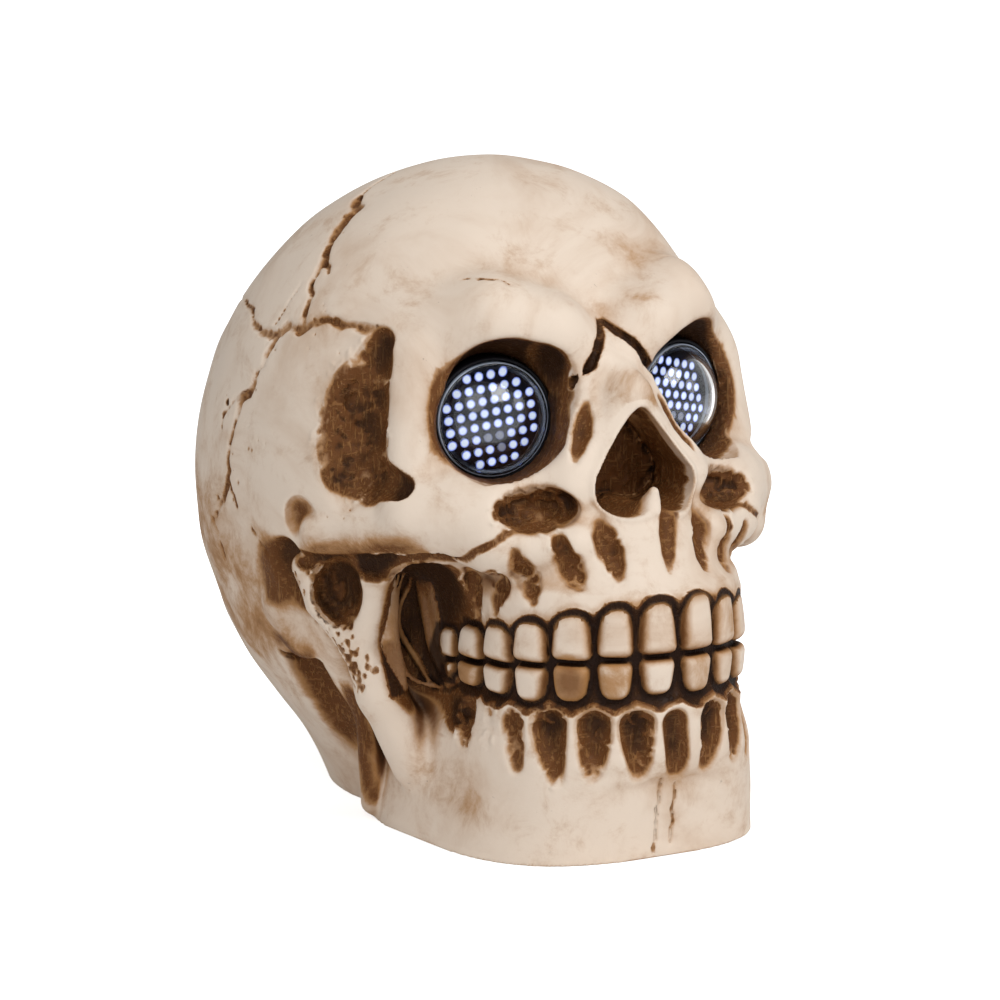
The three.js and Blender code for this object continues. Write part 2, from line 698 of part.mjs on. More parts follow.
// Eye frame: origin on the front face of the dot plate, local Y out of the face along the eye's axis
function eyePose(side) {
  const turn = THREE.MathUtils.degToRad(EYE_TURN_OUT_DEG);
  const out = new THREE.Vector3(side * Math.sin(turn), -Math.cos(turn), 0);
  const up = new THREE.Vector3(0, 0, 1);
  const across = new THREE.Vector3().crossVectors(out, up);
  const pose = new THREE.Matrix4().makeBasis(across, out, up);
  return pose.setPosition((side * EYE_SPACING) / 2, EYE_Y, EYE_Z);
}

const lensRadius = LENS_DIAMETER / 2;
const lensSeatRadius = lensRadius + FIT_GAP;
const cupRadius = lensSeatRadius + CUP_WALL;
const plateRadius = PLATE_DIAMETER / 2;
const plateSeatRadius = plateRadius + FIT_GAP;
const plateLedge = -PLATE_THICKNESS - FIT_GAP;
const diffuserSeatRadius = plateSeatRadius - LEDGE_WIDTH;
const diffuserTop = plateLedge - FIT_GAP;
const diffuserLedge = diffuserTop - DIFFUSER_THICKNESS - FIT_GAP;
const chamberRadius = diffuserSeatRadius - LEDGE_WIDTH;
const chamberFloor = diffuserLedge - LIGHT_CHAMBER_DEPTH;
const cupBack = chamberFloor - CUP_FLOOR;
const cupFront = FIT_GAP + LENS_RIM_THICKNESS - 0.4;
const boardBottom = chamberFloor + FIT_GAP;
const boardTop = boardBottom + BOARD_THICKNESS;
const leadHoleRadius = LEAD_HOLE_DIAMETER / 2;

// Clear dome: a thin shell with a flat rim
function lensGeometry() {
  const top = FIT_GAP + LENS_RIM_THICKNESS;
  const outer = domeArc(lensRadius - LENS_RIM_WIDTH, top, LENS_DOME_HEIGHT, 5);
  const innerHeight = LENS_RIM_THICKNESS + LENS_DOME_HEIGHT - LENS_WALL;
  const inner = domeArc(lensRadius - LENS_RIM_WIDTH - LENS_WALL, FIT_GAP, innerHeight, 4);
  return turned([...inner.reverse(), [lensRadius, FIT_GAP], [lensRadius, top], ...outer], 20);
}

// Profile of a dome from its foot up to its top
function domeArc(footRadius, footHeight, height, steps) {
  const sphere = (footRadius ** 2 + height ** 2) / (2 * height);
  const half = height > sphere ? Math.PI - Math.asin(footRadius / sphere) : Math.asin(footRadius / sphere);
  return Array.from({ length: steps + 1 }, (_, n) => {
    const a = half * (1 - n / steps);
    return [n === steps ? 0 : sphere * Math.sin(a), footHeight + height - sphere + sphere * Math.cos(a)];
  });
}

function cupGeometry() {
  return turned([
    [leadHoleRadius, cupBack],
    [cupRadius, cupBack],
    [cupRadius, cupFront],
    [lensSeatRadius, cupFront],
    [lensSeatRadius, 0],
    [plateSeatRadius, 0],
    [plateSeatRadius, plateLedge],
    [diffuserSeatRadius, plateLedge],
    [diffuserSeatRadius, diffuserLedge],
    [chamberRadius, diffuserLedge],
    [chamberRadius, chamberFloor],
    [leadHoleRadius, chamberFloor],
    [leadHoleRadius, cupBack],
  ], 16);
}

function circlePoints(x, y, radius, count) {
  return Array.from({ length: count }, (_, n) => {
    const a = ((n + 0.25) / count) * 2 * Math.PI;
    return new THREE.Vector2(x + radius * Math.cos(a), y + radius * Math.sin(a));
  });
}

// Lattice of dots that keep clear of the plate's edge
function dotPlaces(gridTurnDeg, rowShift) {
  const turn = THREE.MathUtils.degToRad(gridTurnDeg);
  const reach = plateRadius - DOT_DIAMETER / 2 - DOT_EDGE;
  const rowPitch = DOT_PITCH * Math.sqrt(1 - rowShift ** 2);
  const count = Math.ceil(reach / rowPitch) + 1;
  const places = [];
  for (let row = -count; row < count; row++) {
    for (let n = -count; n < count; n++) {
      const v = (row + 0.5) * rowPitch;
      const u = (n + 0.5 + rowShift * (Math.abs(row % 2) - 0.5)) * DOT_PITCH;
      if (Math.hypot(u, v) > reach) continue;
      places.push([u * Math.cos(turn) - v * Math.sin(turn), u * Math.sin(turn) + v * Math.cos(turn)]);
    }
  }
  return places;
}

function dotPlateGeometry(gridTurnDeg, rowShift) {
  const shape = new THREE.Shape(circlePoints(0, 0, plateRadius, 30));
  for (const [x, y] of dotPlaces(gridTurnDeg, rowShift)) {
    shape.holes.push(new THREE.Path(circlePoints(x, y, DOT_DIAMETER / 2, 5).reverse()));
  }
  const options = { depth: PLATE_THICKNESS, bevelEnabled: false };
  const geometry = new THREE.ExtrudeGeometry(shape, options);
  return geometry.rotateX(-Math.PI / 2).translate(0, -PLATE_THICKNESS, 0).rotateY(Math.PI);
}

function ledGeometry() {
  const r = LED_DIAMETER / 2;
  const foot = boardTop + FIT_GAP;
  const shoulder = foot + LED_HEIGHT - r;
  const profile = [[0, foot], [r + 0.4, foot], [r + 0.4, foot + 1], [r, foot + 1], [r, shoulder]];
  for (let n = 1; n <= 4; n++) {
    const a = (n / 4) * (Math.PI / 2);
    profile.push([n === 4 ? 0 : r * Math.cos(a), shoulder + r * Math.sin(a)]);
  }
  return turned(profile, 10);
}

// Lead: from the back of the eye cup down to the battery box
const LEAD_END_X = 7;
const LEAD_END_Y = 0.5;
const leadSocketZ = BOX_TOP_Z - 1.8;

function leadPath(side, startDepth, endZ) {
  const pose = eyePose(side);
  const start = new THREE.Vector3(0, startDepth, 0).applyMatrix4(pose);
  const bend = new THREE.Vector3(0, startDepth - 22, 0).applyMatrix4(pose);
  const end = new THREE.Vector3(side * LEAD_END_X, LEAD_END_Y, endZ);
  const drop = new THREE.Vector3(side * LEAD_END_X, LEAD_END_Y, endZ + 36);
  return new THREE.CubicBezierCurve3(start, bend, drop, end);
}

function along(path, halfWidth, halfThickness, points, steps) {
  const shape = new THREE.Shape();
  for (let n = 0; n < points; n++) {
    const a = (n / points) * 2 * Math.PI;
    const [x, y] = [halfThickness * Math.cos(a), halfWidth * Math.sin(a)];
    if (n === 0) shape.moveTo(x, y);
    else shape.lineTo(x, y);
  }
  return new THREE.ExtrudeGeometry(shape, { steps, extrudePath: path, bevelEnabled: false });
}

// Battery unit heights and lengths
const plateLowZ = BOX_BOTTOM_Z + 0.7 + FIT_GAP;
const plateTopZ = plateLowZ + DOOR_PLATE_THICKNESS;
const slotLowZ = plateLowZ - FIT_GAP;
const slotTopZ = plateTopZ + FIT_GAP;
const cellRadius = CELL_DIAMETER / 2;
const cellAxisZ = slotTopZ + 0.3 + cellRadius;
const bayTopZ = cellAxisZ + cellRadius + 0.4;
const stackLength = CELL_COUNT * (CELL_THICKNESS + FIT_GAP);
const bayLength = stackLength + CONTACT_THICKNESS + SPRING_LENGTH + 3 * FIT_GAP;
const bayHalfWidth = cellRadius + 0.4;
const boxX = BOX_WIDTH / 2;
const bayX0 = BAY_END_WALL - boxX;
const bayX1 = bayX0 + bayLength;
const bayCentreX = (bayX0 + bayX1) / 2;
const switchCentreX = boxX - SWITCH_END_WALL - SWITCH_WIDTH / 2;
const boxY0 = BOX_CENTRE_Y - BOX_LENGTH / 2;
const boxY1 = BOX_CENTRE_Y + BOX_LENGTH / 2;
const doorHalfWidth = bayLength / 2 + 1.5;
const doorY1 = BOX_CENTRE_Y + bayHalfWidth + 1;
const doorY0 = boxY0 + FIT_GAP;
const switchFloorZ = BOX_BOTTOM_Z + 1.5;
const knobRestY = BOX_CENTRE_Y - KNOB_TRAVEL / 2;
const knobSlotHalf = (KNOB_LENGTH + KNOB_TRAVEL) / 2 + FIT_GAP;

function doorGeometry(gap) {
  const half = doorHalfWidth + gap;
  const face = doorHalfWidth - DOOR_LIP + gap;
  const front = gap > 0 ? boxY0 - 1 : doorY0;
  const plate = block(
    bayCentreX - half, bayCentreX + half, front, doorY1 + gap, plateLowZ - gap, plateTopZ + gap,
  );
  const faceLow = gap > 0 ? BOX_BOTTOM_Z - 1 : plateLowZ - DOOR_FACE_THICKNESS;
  const boss = block(
    bayCentreX - face, bayCentreX + face, front, doorY1 - DOOR_LIP + gap, faceLow, plateLowZ + 0.2,
  );
  return solidOf(plate).add(solidOf(boss));
}

function leadSocket(side) {
  const hole = new THREE.CylinderGeometry(1.7, 1.7, 4, 12).rotateX(Math.PI / 2);
  return solidOf(hole.translate(side * LEAD_END_X, LEAD_END_Y, leadSocketZ + 2));
}

function boxGeometry() {
  let box = solidOf(block(-boxX, boxX, boxY0, boxY1, BOX_BOTTOM_Z, BOX_TOP_Z));
  const bayY0 = BOX_CENTRE_Y - bayHalfWidth;
  const bayY1 = BOX_CENTRE_Y + bayHalfWidth;
  box = box.subtract(solidOf(block(bayX0, bayX1, bayY0, bayY1, slotLowZ, bayTopZ)));
  box = box.subtract(doorGeometry(FIT_GAP));
  const sx = SWITCH_WIDTH / 2 + FIT_GAP;
  const sy = SWITCH_LENGTH / 2 + FIT_GAP;
  box = box.subtract(solidOf(block(
    switchCentreX - sx, switchCentreX + sx, BOX_CENTRE_Y - sy, BOX_CENTRE_Y + sy, switchFloorZ, BOX_TOP_Z + 1,
  )));
  const kx = KNOB_WIDTH / 2 + FIT_GAP;
  box = box.subtract(solidOf(block(
    switchCentreX - kx, switchCentreX + kx,
    BOX_CENTRE_Y - knobSlotHalf, BOX_CENTRE_Y + knobSlotHalf, BOX_BOTTOM_Z - 1, switchFloorZ + 1,
  )));
  for (const side of [1, -1]) box = box.subtract(leadSocket(side));
  return geometryOf(box);
}

function switchGeometry() {
  const z0 = switchFloorZ + FIT_GAP;
  const sx = SWITCH_WIDTH / 2;
  const sy = SWITCH_LENGTH / 2;
  const kx = KNOB_WIDTH / 2 + FIT_GAP;
  const body = solidOf(block(
    switchCentreX - sx, switchCentreX + sx, BOX_CENTRE_Y - sy, BOX_CENTRE_Y + sy, z0, z0 + SWITCH_HEIGHT,
  ));
  return geometryOf(body.subtract(solidOf(block(
    switchCentreX - kx, switchCentreX + kx,
    BOX_CENTRE_Y - knobSlotHalf, BOX_CENTRE_Y + knobSlotHalf, z0 - 1, z0 + 2,
  ))));
}

function springGeometry() {
  const x0 = bayX0 + FIT_GAP;
  const x1 = x0 + SPRING_LENGTH;
  const y0 = BOX_CENTRE_Y - 4;
  const y1 = BOX_CENTRE_Y + 4;
  const t = CONTACT_THICKNESS;
  const shape = new THREE.Shape([
    new THREE.Vector2(x0, y0),
    new THREE.Vector2(x0 + t, y0),
    new THREE.Vector2(x0 + t, y1 - 2 * t),
    new THREE.Vector2(x1 - t, BOX_CENTRE_Y - 1),
    new THREE.Vector2(x1 - t, y0),
    new THREE.Vector2(x1, y0),
    new THREE.Vector2(x1, BOX_CENTRE_Y),
    new THREE.Vector2(x0 + t, y1),
    new THREE.Vector2(x0, y1),
  ]);
  const geometry = new THREE.ExtrudeGeometry(shape, { depth: 7, bevelEnabled: false });
  return geometry.translate(0, 0, cellAxisZ - 3.5);
}

// Skull casting
let casting = solidOf(thinned(skin(bone), SKIN_TRIANGLES));
const reachAll = 2 * (CRANIUM_BACK_LENGTH + CRANIUM_HALF_HEIGHT + SKIN_MARGIN);
casting = casting.intersect(solidOf(block(-reachAll, reachAll, -reachAll, reachAll, 0, reachAll)));
for (const geometry of toothRow(true, UPPER_TOOTH_HEIGHT)) casting = casting.add(solidOf(geometry));
for (const geometry of toothRow(false, LOWER_TOOTH_HEIGHT)) casting = casting.add(solidOf(geometry));
for (const side of [-1, 1]) {
  const pose = eyePose(side);
  const bore = [[0, cupBack - FIT_GAP], [cupRadius + FIT_GAP, cupBack - FIT_GAP]];
  bore.push([cupRadius + FIT_GAP, cupFront + FIT_GAP], [lensSeatRadius, cupFront + FIT_GAP]);
  bore.push([lensSeatRadius, LENS_DOME_HEIGHT + 4], [0, LENS_DOME_HEIGHT + 4]);
  casting = casting.subtract(solidOf(turned(bore, 24).applyMatrix4(pose)));
  const channel = leadPath(side, cupBack + 0.5, BOX_TOP_Z);
  casting = casting.subtract(solidOf(along(channel, leadHoleRadius, leadHoleRadius, 8, 10)));
}
casting = casting.subtract(solidOf(block(
  -boxX - FIT_GAP, boxX + FIT_GAP, boxY0 - FIT_GAP, boxY1 + FIT_GAP, -1, BOX_TOP_Z + FIT_GAP,
)));
casting = casting.subtract(solidOf(block(
  bayCentreX - doorHalfWidth - 1, bayCentreX + doorHalfWidth + 1,
  doorY0 - DOOR_TRAVEL - 1.5, boxY0, -1, plateTopZ + 2 * FIT_GAP,
)));
addPart('skull_casting', geometryOf(casting), 0xe2cda8, 0.5, 0);

// Eye units, the right one first
const eyes = [
  { side: -1, name: 'right', gridTurn: 6, rowShift: 0 },
  { side: 1, name: 'left', gridTurn: -12, rowShift: 0.5 },
];
for (const eye of eyes) {
  const pose = eyePose(eye.side);
  const board = new THREE.CylinderGeometry(chamberRadius - FIT_GAP, chamberRadius - FIT_GAP, BOARD_THICKNESS, 20);
  board.translate(0, (boardBottom + boardTop) / 2, 0);
  const diffuserRadius = diffuserSeatRadius - FIT_GAP;
  const diffuser = new THREE.CylinderGeometry(diffuserRadius, diffuserRadius, DIFFUSER_THICKNESS, 20);
  diffuser.translate(0, diffuserTop - DIFFUSER_THICKNESS / 2, 0);
  const lead = leadPath(eye.side, chamberFloor - 0.2, leadSocketZ + FIT_GAP);
  addPart(`eye_cup_${eye.name}`, cupGeometry().applyMatrix4(pose), 0x0c0c0e, 0.5, 0);
  addPart(`eye_lens_${eye.name}`, lensGeometry().applyMatrix4(pose), 0xdfe8f2, 0.05, 0);
  const plate = dotPlateGeometry(eye.gridTurn, eye.rowShift).applyMatrix4(pose);
  addPart(`dot_plate_${eye.name}`, plate, 0x08080c, 0.4, 0);
  addPart(`eye_diffuser_${eye.name}`, diffuser.applyMatrix4(pose), 0xeef3ff, 0.6, 0);
  addPart(`eye_board_${eye.name}`, board.applyMatrix4(pose), 0x1f5a34, 0.6, 0);
  addPart(`eye_led_${eye.name}`, ledGeometry().applyMatrix4(pose), 0xf4f6ff, 0.2, 0);
  addPart(`eye_lead_${eye.name}`, along(lead, LEAD_WIDTH / 2, LEAD_THICKNESS / 2, 6, 10), 0x8a1410, 0.6, 0);
}

// Battery unit
addPart('battery_box', boxGeometry(), 0x151517, 0.55, 0);
addPart('battery_door', geometryOf(doorGeometry(0)), 0x1a1a1c, 0.5, 0);
for (let n = 0; n < CELL_COUNT; n++) {
  const cell = new THREE.CylinderGeometry(cellRadius, cellRadius, CELL_THICKNESS, 24).rotateZ(Math.PI / 2);
  const first = bayX1 - 2 * FIT_GAP - CONTACT_THICKNESS - CELL_THICKNESS / 2;
  const x = first - n * (CELL_THICKNESS + FIT_GAP);
  addPart(`button_cell_${n + 1}`, cell.translate(x, BOX_CENTRE_Y, cellAxisZ), 0xb9bcc0, 0.25, 1);
}
addPart('cell_spring_contact', springGeometry(), 0xc9b37a, 0.3, 1);
const endX = bayX1 - FIT_GAP;
const endContact = block(
  endX - CONTACT_THICKNESS, endX, BOX_CENTRE_Y - 4, BOX_CENTRE_Y + 4, cellAxisZ - 4, cellAxisZ + 4,
);
addPart('cell_end_contact', endContact, 0xc9b37a, 0.3, 1);
addPart('switch_body', switchGeometry(), 0x9a9ca0, 0.4, 0.6);
const knob = block(
  switchCentreX - KNOB_WIDTH / 2, switchCentreX + KNOB_WIDTH / 2,
  knobRestY - KNOB_LENGTH / 2, knobRestY + KNOB_LENGTH / 2, BOX_BOTTOM_Z + 0.2, switchFloorZ + 1.8,
);
addPart('switch_slider', knob, 0x101012, 0.5, 0);

export default group;
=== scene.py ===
import json
from math import asin, ceil, cos, hypot, pi, radians, sin, sqrt

import bmesh
import bpy
import numpy as np
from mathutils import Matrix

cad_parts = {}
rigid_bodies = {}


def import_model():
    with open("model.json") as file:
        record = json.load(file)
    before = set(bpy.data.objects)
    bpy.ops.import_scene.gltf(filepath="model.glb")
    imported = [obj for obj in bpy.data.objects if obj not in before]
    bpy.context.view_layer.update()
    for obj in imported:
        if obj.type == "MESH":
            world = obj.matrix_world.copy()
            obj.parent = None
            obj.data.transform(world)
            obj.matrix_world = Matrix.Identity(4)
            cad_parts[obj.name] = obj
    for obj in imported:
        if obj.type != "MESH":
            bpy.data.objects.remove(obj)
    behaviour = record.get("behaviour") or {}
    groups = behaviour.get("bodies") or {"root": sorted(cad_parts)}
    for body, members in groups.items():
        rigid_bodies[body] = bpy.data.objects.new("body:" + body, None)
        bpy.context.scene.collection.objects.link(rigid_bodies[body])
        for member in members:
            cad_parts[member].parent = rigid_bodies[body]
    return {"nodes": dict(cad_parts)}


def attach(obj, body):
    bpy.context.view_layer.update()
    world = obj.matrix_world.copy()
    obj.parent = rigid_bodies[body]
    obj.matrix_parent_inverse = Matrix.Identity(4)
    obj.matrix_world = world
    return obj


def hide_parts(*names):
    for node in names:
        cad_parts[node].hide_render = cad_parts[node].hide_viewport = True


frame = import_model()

import openvdb
from bpy.props import FloatProperty, FloatVectorProperty, PointerProperty
from mathutils import Matrix, Vector

bl_info = {
    "name": "Light-up skull ornament",
    "version": (1, 0, 0),
    "blender": (4, 5, 0),
    "location": "3D View > Sidebar > Skull",
    "description": "Dresses the packed skull ornament: aged bone, lit eyes, battery unit and stage",
    "category": "Object",
}

MM = 0.001
CENTRE_SHIFT_Y = 3.7

# Camera of the photograph, and lamps as (name, turn and raise in degrees, distance, size, power)
VIEW_TURN_DEG, VIEW_RAISE_DEG = -32.0, 10.5
VIEW_DISTANCE = 1.2
VIEW_LENS = 193.28
VIEW_TARGET = (0.0, 0.0002, 0.0679)
LAMP_TARGET = (0, 0, 0.07)
LAMPS = (("key", 8, 48, 1.1, 0.6, 4.7), ("front", 41, 22, 1.0, 0.4, 0.7), ("side", -52, 34, 1.2, 0.8, 2.3))

# Skull proportions in millimetres, before the shift that centres the whole object
CRANIUM_HALF_WIDTH = 60
CRANIUM_FRONT = 56
CRANIUM_BACK = 61
CRANIUM_HALF_HEIGHT = 68.5
CRANIUM_CENTRE = (8, 76)
CRANIUM_LEAN = 0.09
ARCH_RADIUS = 29.7
ARCH_QUARTER = ARCH_RADIUS * pi / 2
ARCH_CENTRE_Y = -47
ARCH_BACK_Y = -18
BITE_Z = 45.9
BITE_FALL = 0.13
TOOTH_WIDTHS = (10.4, 9.4, 10.4, 10, 11, 10.5, 7.5)
UPPER_HEIGHTS = (12, 11.2, 10.1, 9, 8.2, 7.2, 6.2)
LOWER_HEIGHTS = (8.2, 8.2, 7.8, 7.4, 6, 4.8, 4.2)
UPPER_GAP, LOWER_GAP = 1.9, 2.4
BED_DEPTH = 2.1
EYE_SPACING = 47
EYE_Y, EYE_Z = -37.5, 93.4
EYE_TURN_OUT = radians(14)
EYE_COS, EYE_SIN = cos(EYE_TURN_OUT), sin(EYE_TURN_OUT)
LENS_RADIUS = 12.5
LENS_RIM = 0.6
LENS_RIM_THICKNESS = 1.4
LENS_DOME = 7.2
LENS_WALL = 0.8
LENS_ARC_STEPS = 28
CUP_RADIUS = 13.5
FIT_GAP = 0.3
PLATE_RADIUS = 11.5
DOT_PITCH = 2.65
DOT_RADIUS = 0.875
DOT_EDGE = 0.4
GLOW_RADIUS, GLOW_FADE = 0.98, 0.42

# Fineness of the carved bone, and the seeds of what is scattered over it
TRIANGLES, QUICK_TRIANGLES = 190000, 60000
TOOTH_SEED, DETAIL_SEED, CRACK_SEED, LUMP_SEED = 31, 12, 77, 5
LUMP_SIZE = 9.0
HALO_REACH, HALO_MOST = 1.6, 1.5
DOOR_TRAVEL = 15.5

# Eyes: side, sign of X, turn of the dot lattice in degrees, shift of every other row, seed
EYES = (("right", -1, 9.0, 0.0, 8), ("left", 1, -12.0, 0.5, 9))


class SkullSizes(bpy.types.PropertyGroup):
    """Sizes a user may change."""

    voxel: FloatProperty(
        name="Carving step", description="Grid step of the carved bone", default=0.5 * MM, unit="LENGTH")
    crack_width: FloatProperty(
        name="Crack width", description="Width of the cracks in the cranium", default=2.0 * MM, unit="LENGTH")
    surface_lumps: FloatProperty(
        name="Surface lumps", description="Height of the hand-worked lumps", default=0.25 * MM, unit="LENGTH")


class SkullColours(bpy.types.PropertyGroup):
    """Colours a user may change."""

    PAINT = {"subtype": "COLOR", "size": 4}
    ivory: FloatVectorProperty(
        name="Ivory", description="Bone paint", default=(0.885, 0.745, 0.615, 1), **PAINT)
    # Tan, umber and black brown are the wash, and in the deeper hollows and crevices also painted shade.
    tan: FloatVectorProperty(
        name="Tan", description="Thin wash over the bone", default=(0.47, 0.235, 0.085, 1), **PAINT)
    umber: FloatVectorProperty(
        name="Umber", description="Wash in the hollows", default=(0.15, 0.054, 0.0145, 1), **PAINT)
    black_brown: FloatVectorProperty(
        name="Black brown", description="Wash in the crevices", default=(0.019, 0.007, 0.003, 1), **PAINT)
    glow: FloatVectorProperty(
        name="Eye light", description="Colour of the lit dots", default=(0.14, 0.23, 0.85, 1), **PAINT)


# Forms: each is (lowest corner, highest corner, distance function), with distances negative inside

def vec(values):
    return np.array(values, np.float32)


def ball(centre, radii):
    c, r = vec(centre), vec(radii)

    def distance(x, y, z):
        px, py, pz = (x - c[0]) / r[0], (y - c[1]) / r[1], (z - c[2]) / r[2]
        near = np.sqrt(px * px + py * py + pz * pz)
        slope = np.sqrt((px / r[0]) ** 2 + (py / r[1]) ** 2 + (pz / r[2]) ** 2)
        return near * (near - 1) / np.maximum(slope, 1e-6)

    return c - r, c + r, distance


def rod(start, end, r0, r1):
    a, b = vec(start), vec(end)
    run = b - a
    length2 = max(float(run @ run), 1e-6)

    def distance(x, y, z):
        px, py, pz = x - a[0], y - a[1], z - a[2]
        t = np.clip((px * run[0] + py * run[1] + pz * run[2]) / length2, 0, 1)
        near = np.sqrt((px - run[0] * t) ** 2 + (py - run[1] * t) ** 2 + (pz - run[2] * t) ** 2)
        return near - (r0 + (r1 - r0) * t)

    r = max(r0, r1)
    return np.minimum(a, b) - r, np.maximum(a, b) + r, distance


def links(places):
    """Rods along a path of (x, y, z, radius)."""
    return [rod(a[:3], b[:3], a[3], b[3]) for a, b in zip(places, places[1:])]


def blend(a, b, soft):
    h = np.maximum(soft - np.abs(a - b), 0) / soft
    return np.minimum(a, b) - h * h * soft * 0.25


def arch_run(x, y):
    """Length along the tooth arch from the middle plane."""
    turn = np.arctan2(np.abs(x), np.maximum(ARCH_CENTRE_Y - y, 1e-6))
    return np.where(y < ARCH_CENTRE_Y, turn * ARCH_RADIUS, ARCH_QUARTER + y - ARCH_CENTRE_Y)


def arch_wall(radius, taper, low, high, soft, edge=None, edge_below=True):
    """Wall along the tooth arch; edge gives the height where it starts or ends, by length along the arch."""

    def distance(x, y, z):
        side = np.hypot(x, np.minimum(y - ARCH_CENTRE_Y, 0)) - radius + taper * np.maximum(z - low, 0)
        wall = np.maximum(side, y - ARCH_BACK_Y)
        lo, hi = low, high
        if edge is not None:
            line = edge(arch_run(x, y))
            lo, hi = (line, high) if edge_below else (low, line)
        return -blend(-wall, -np.maximum(lo - z, z - hi), soft)

    box_low = vec((0, ARCH_CENTRE_Y - radius, low - 4))
    box_high = vec((radius, ARCH_BACK_Y, high + 4))
    return box_low, box_high, distance


def tooth_centres():
    edges = np.concatenate([[0], np.cumsum(TOOTH_WIDTHS)])
    return (edges[:-1] + edges[1:]) / 2, edges


def bite_height(along):
    turn = np.minimum(along, ARCH_QUARTER) / ARCH_RADIUS
    y = -np.cos(turn) * ARCH_RADIUS + np.maximum(along - ARCH_QUARTER, 0)
    return BITE_Z - BITE_FALL * (y + ARCH_RADIUS)


def gum_edge(heights, sign, rise, dip):
    """Scalloped edge of the gum: furthest from the bite over the middle of each crown."""
    centres, edges = tooth_centres()
    fine = np.linspace(0, edges[-1] + 4, 500)
    tooth = np.clip(np.searchsorted(edges, fine) - 1, 0, len(centres) - 1)
    phase = 2 * (fine - centres[tooth]) / np.array(TOOTH_WIDTHS)[tooth]
    crown_top = np.interp(fine, centres, heights) + rise - dip * np.minimum(np.abs(phase), 1) ** 2
    level = bite_height(fine) + sign * crown_top
    return lambda along: np.interp(along, fine, level).astype(np.float32)


class BoneGrid:
    """Distances from the surface of the bone on an even grid; half of the skull until it is mirrored."""

    SPANS = ((0, 64), (-84, 76), (-6, 149))
    REACH = 6.0
    WIDEST_BLEND = 6

    def __init__(self, step):
        self.step = step
        self.axes = [np.arange(lo, hi, step, dtype=np.float32) for lo, hi in self.SPANS]
        self.d = self.cranium(*self.spread(self.axes)).astype(np.float32)
        self.wash = np.zeros_like(self.d)

    @staticmethod
    def spread(axes):
        return axes[0][:, None, None], axes[1][None, :, None], axes[2][None, None, :]

    @staticmethod
    def cranium(x, y, z):
        px = np.abs(x) / CRANIUM_HALF_WIDTH
        pz = (z - CRANIUM_CENTRE[1]) / CRANIUM_HALF_HEIGHT
        dy = y - CRANIUM_CENTRE[0] + CRANIUM_LEAN * (z - CRANIUM_CENTRE[1])
        front = (px ** 2.35 + (np.maximum(-dy, 0) / CRANIUM_FRONT) ** 2.35) ** (1 / 2.35)
        back = (px ** 2.3 + (np.maximum(dy, 0) / CRANIUM_BACK) ** 2.3) ** (1 / 2.3)
        plan = np.where(dy < 0, front, back)
        return (np.sqrt(plan * plan + pz * pz) - 1) * CRANIUM_HALF_WIDTH

    def patch(self, low, high, reach):
        cut = []
        for axis, lo, hi in zip(self.axes, low, high):
            start, stop = np.searchsorted(axis, [lo - reach, hi + reach])
            cut.append(slice(int(start), int(stop)))
        return tuple(cut), self.spread([a[c] for a, c in zip(self.axes, cut)])

    def join(self, form, soft):
        """Blends a form on; soft is the width of the blend, or a function that gives it by place."""
        cut, place = self.patch(form[0], form[1], self.REACH + (self.WIDEST_BLEND if callable(soft) else soft))
        if self.d[cut].size:
            width = soft(*place) if callable(soft) else soft
            self.d[cut] = blend(self.d[cut], form[2](*place), width)

    def carve(self, form, soft, paint=0.0, fade=1.0):
        """Cuts a form out; paint is how much wash settles for each millimetre of depth, fade how far it spreads."""
        cut, place = self.patch(form[0], form[1], soft + self.REACH)
        if not self.d[cut].size:
            return
        before, shape = self.d[cut], form[2](*place)
        if paint:
            self.brush(cut, np.clip(1 - shape / fade, 0, 1) * np.clip(0.2 - before, 0, 3) * paint)
        self.d[cut] = -blend(-before, shape, soft)

    def tint(self, form, amount, fade):
        """Wash, or painted shade, put on without a cut."""
        cut, place = self.patch(form[0], form[1], fade)
        self.brush(cut, np.clip(0.5 - form[2](*place) / fade, 0, 1) * amount)

    def brush(self, cut, held):
        self.wash[cut] = np.maximum(self.wash[cut], held)

    def mirror(self):
        self.axes[0] = np.concatenate([-self.axes[0][:0:-1], self.axes[0]])
        self.d = np.concatenate([self.d[:0:-1], self.d], axis=0)
        self.wash = np.concatenate([self.wash[:0:-1], self.wash], axis=0)

    def sample(self, points, array=None):
        """Values between the grid points, by distance to the eight neighbours."""
        d = self.d if array is None else array
        spots, parts, beyond = [], [], 0
        for n, axis in enumerate(self.axes):
            raw = (points[:, n] - axis[0]) / self.step
            t = np.clip(raw, 0, len(axis) - 1.001)
            beyond = beyond + (raw - t) ** 2
            spots.append(t.astype(np.int32))
            parts.append((t - spots[-1]).astype(np.float32))
        i, j, k = spots
        u, v, w = parts
        value = 0
        for a, b, c in np.ndindex(2, 2, 2):
            share = (u if a else 1 - u) * (v if b else 1 - v) * (w if c else 1 - w)
            value = value + share * d[i + a, j + b, k + c]
        return value if array is not None else value + np.sqrt(beyond) * self.step

    def normals(self, points):
        shifts = np.eye(3, dtype=np.float32) * self.step
        n = np.stack([self.sample(points + s) - self.sample(points - s) for s in shifts], axis=1)
        return n / np.maximum(np.linalg.norm(n, axis=1, keepdims=True), 1e-6)

    def settle(self, points, passes=6):
        """Brings points onto the surface."""
        p = vec(points).reshape(-1, 3)
        for _ in range(passes):
            p = p - self.normals(p) * self.sample(p)[:, None]
        return p


def neck_form():
    def distance(x, y, z):
        grow = np.maximum(z, 0)
        side = (np.hypot(x / (28 + 0.5 * grow), (y - 12) / (38 + 0.2 * grow)) - 1) * 28
        return -blend(-side, 44 - z, 14)

    return np.array((0, -40, -6)), np.array((56, 62, 44)), distance


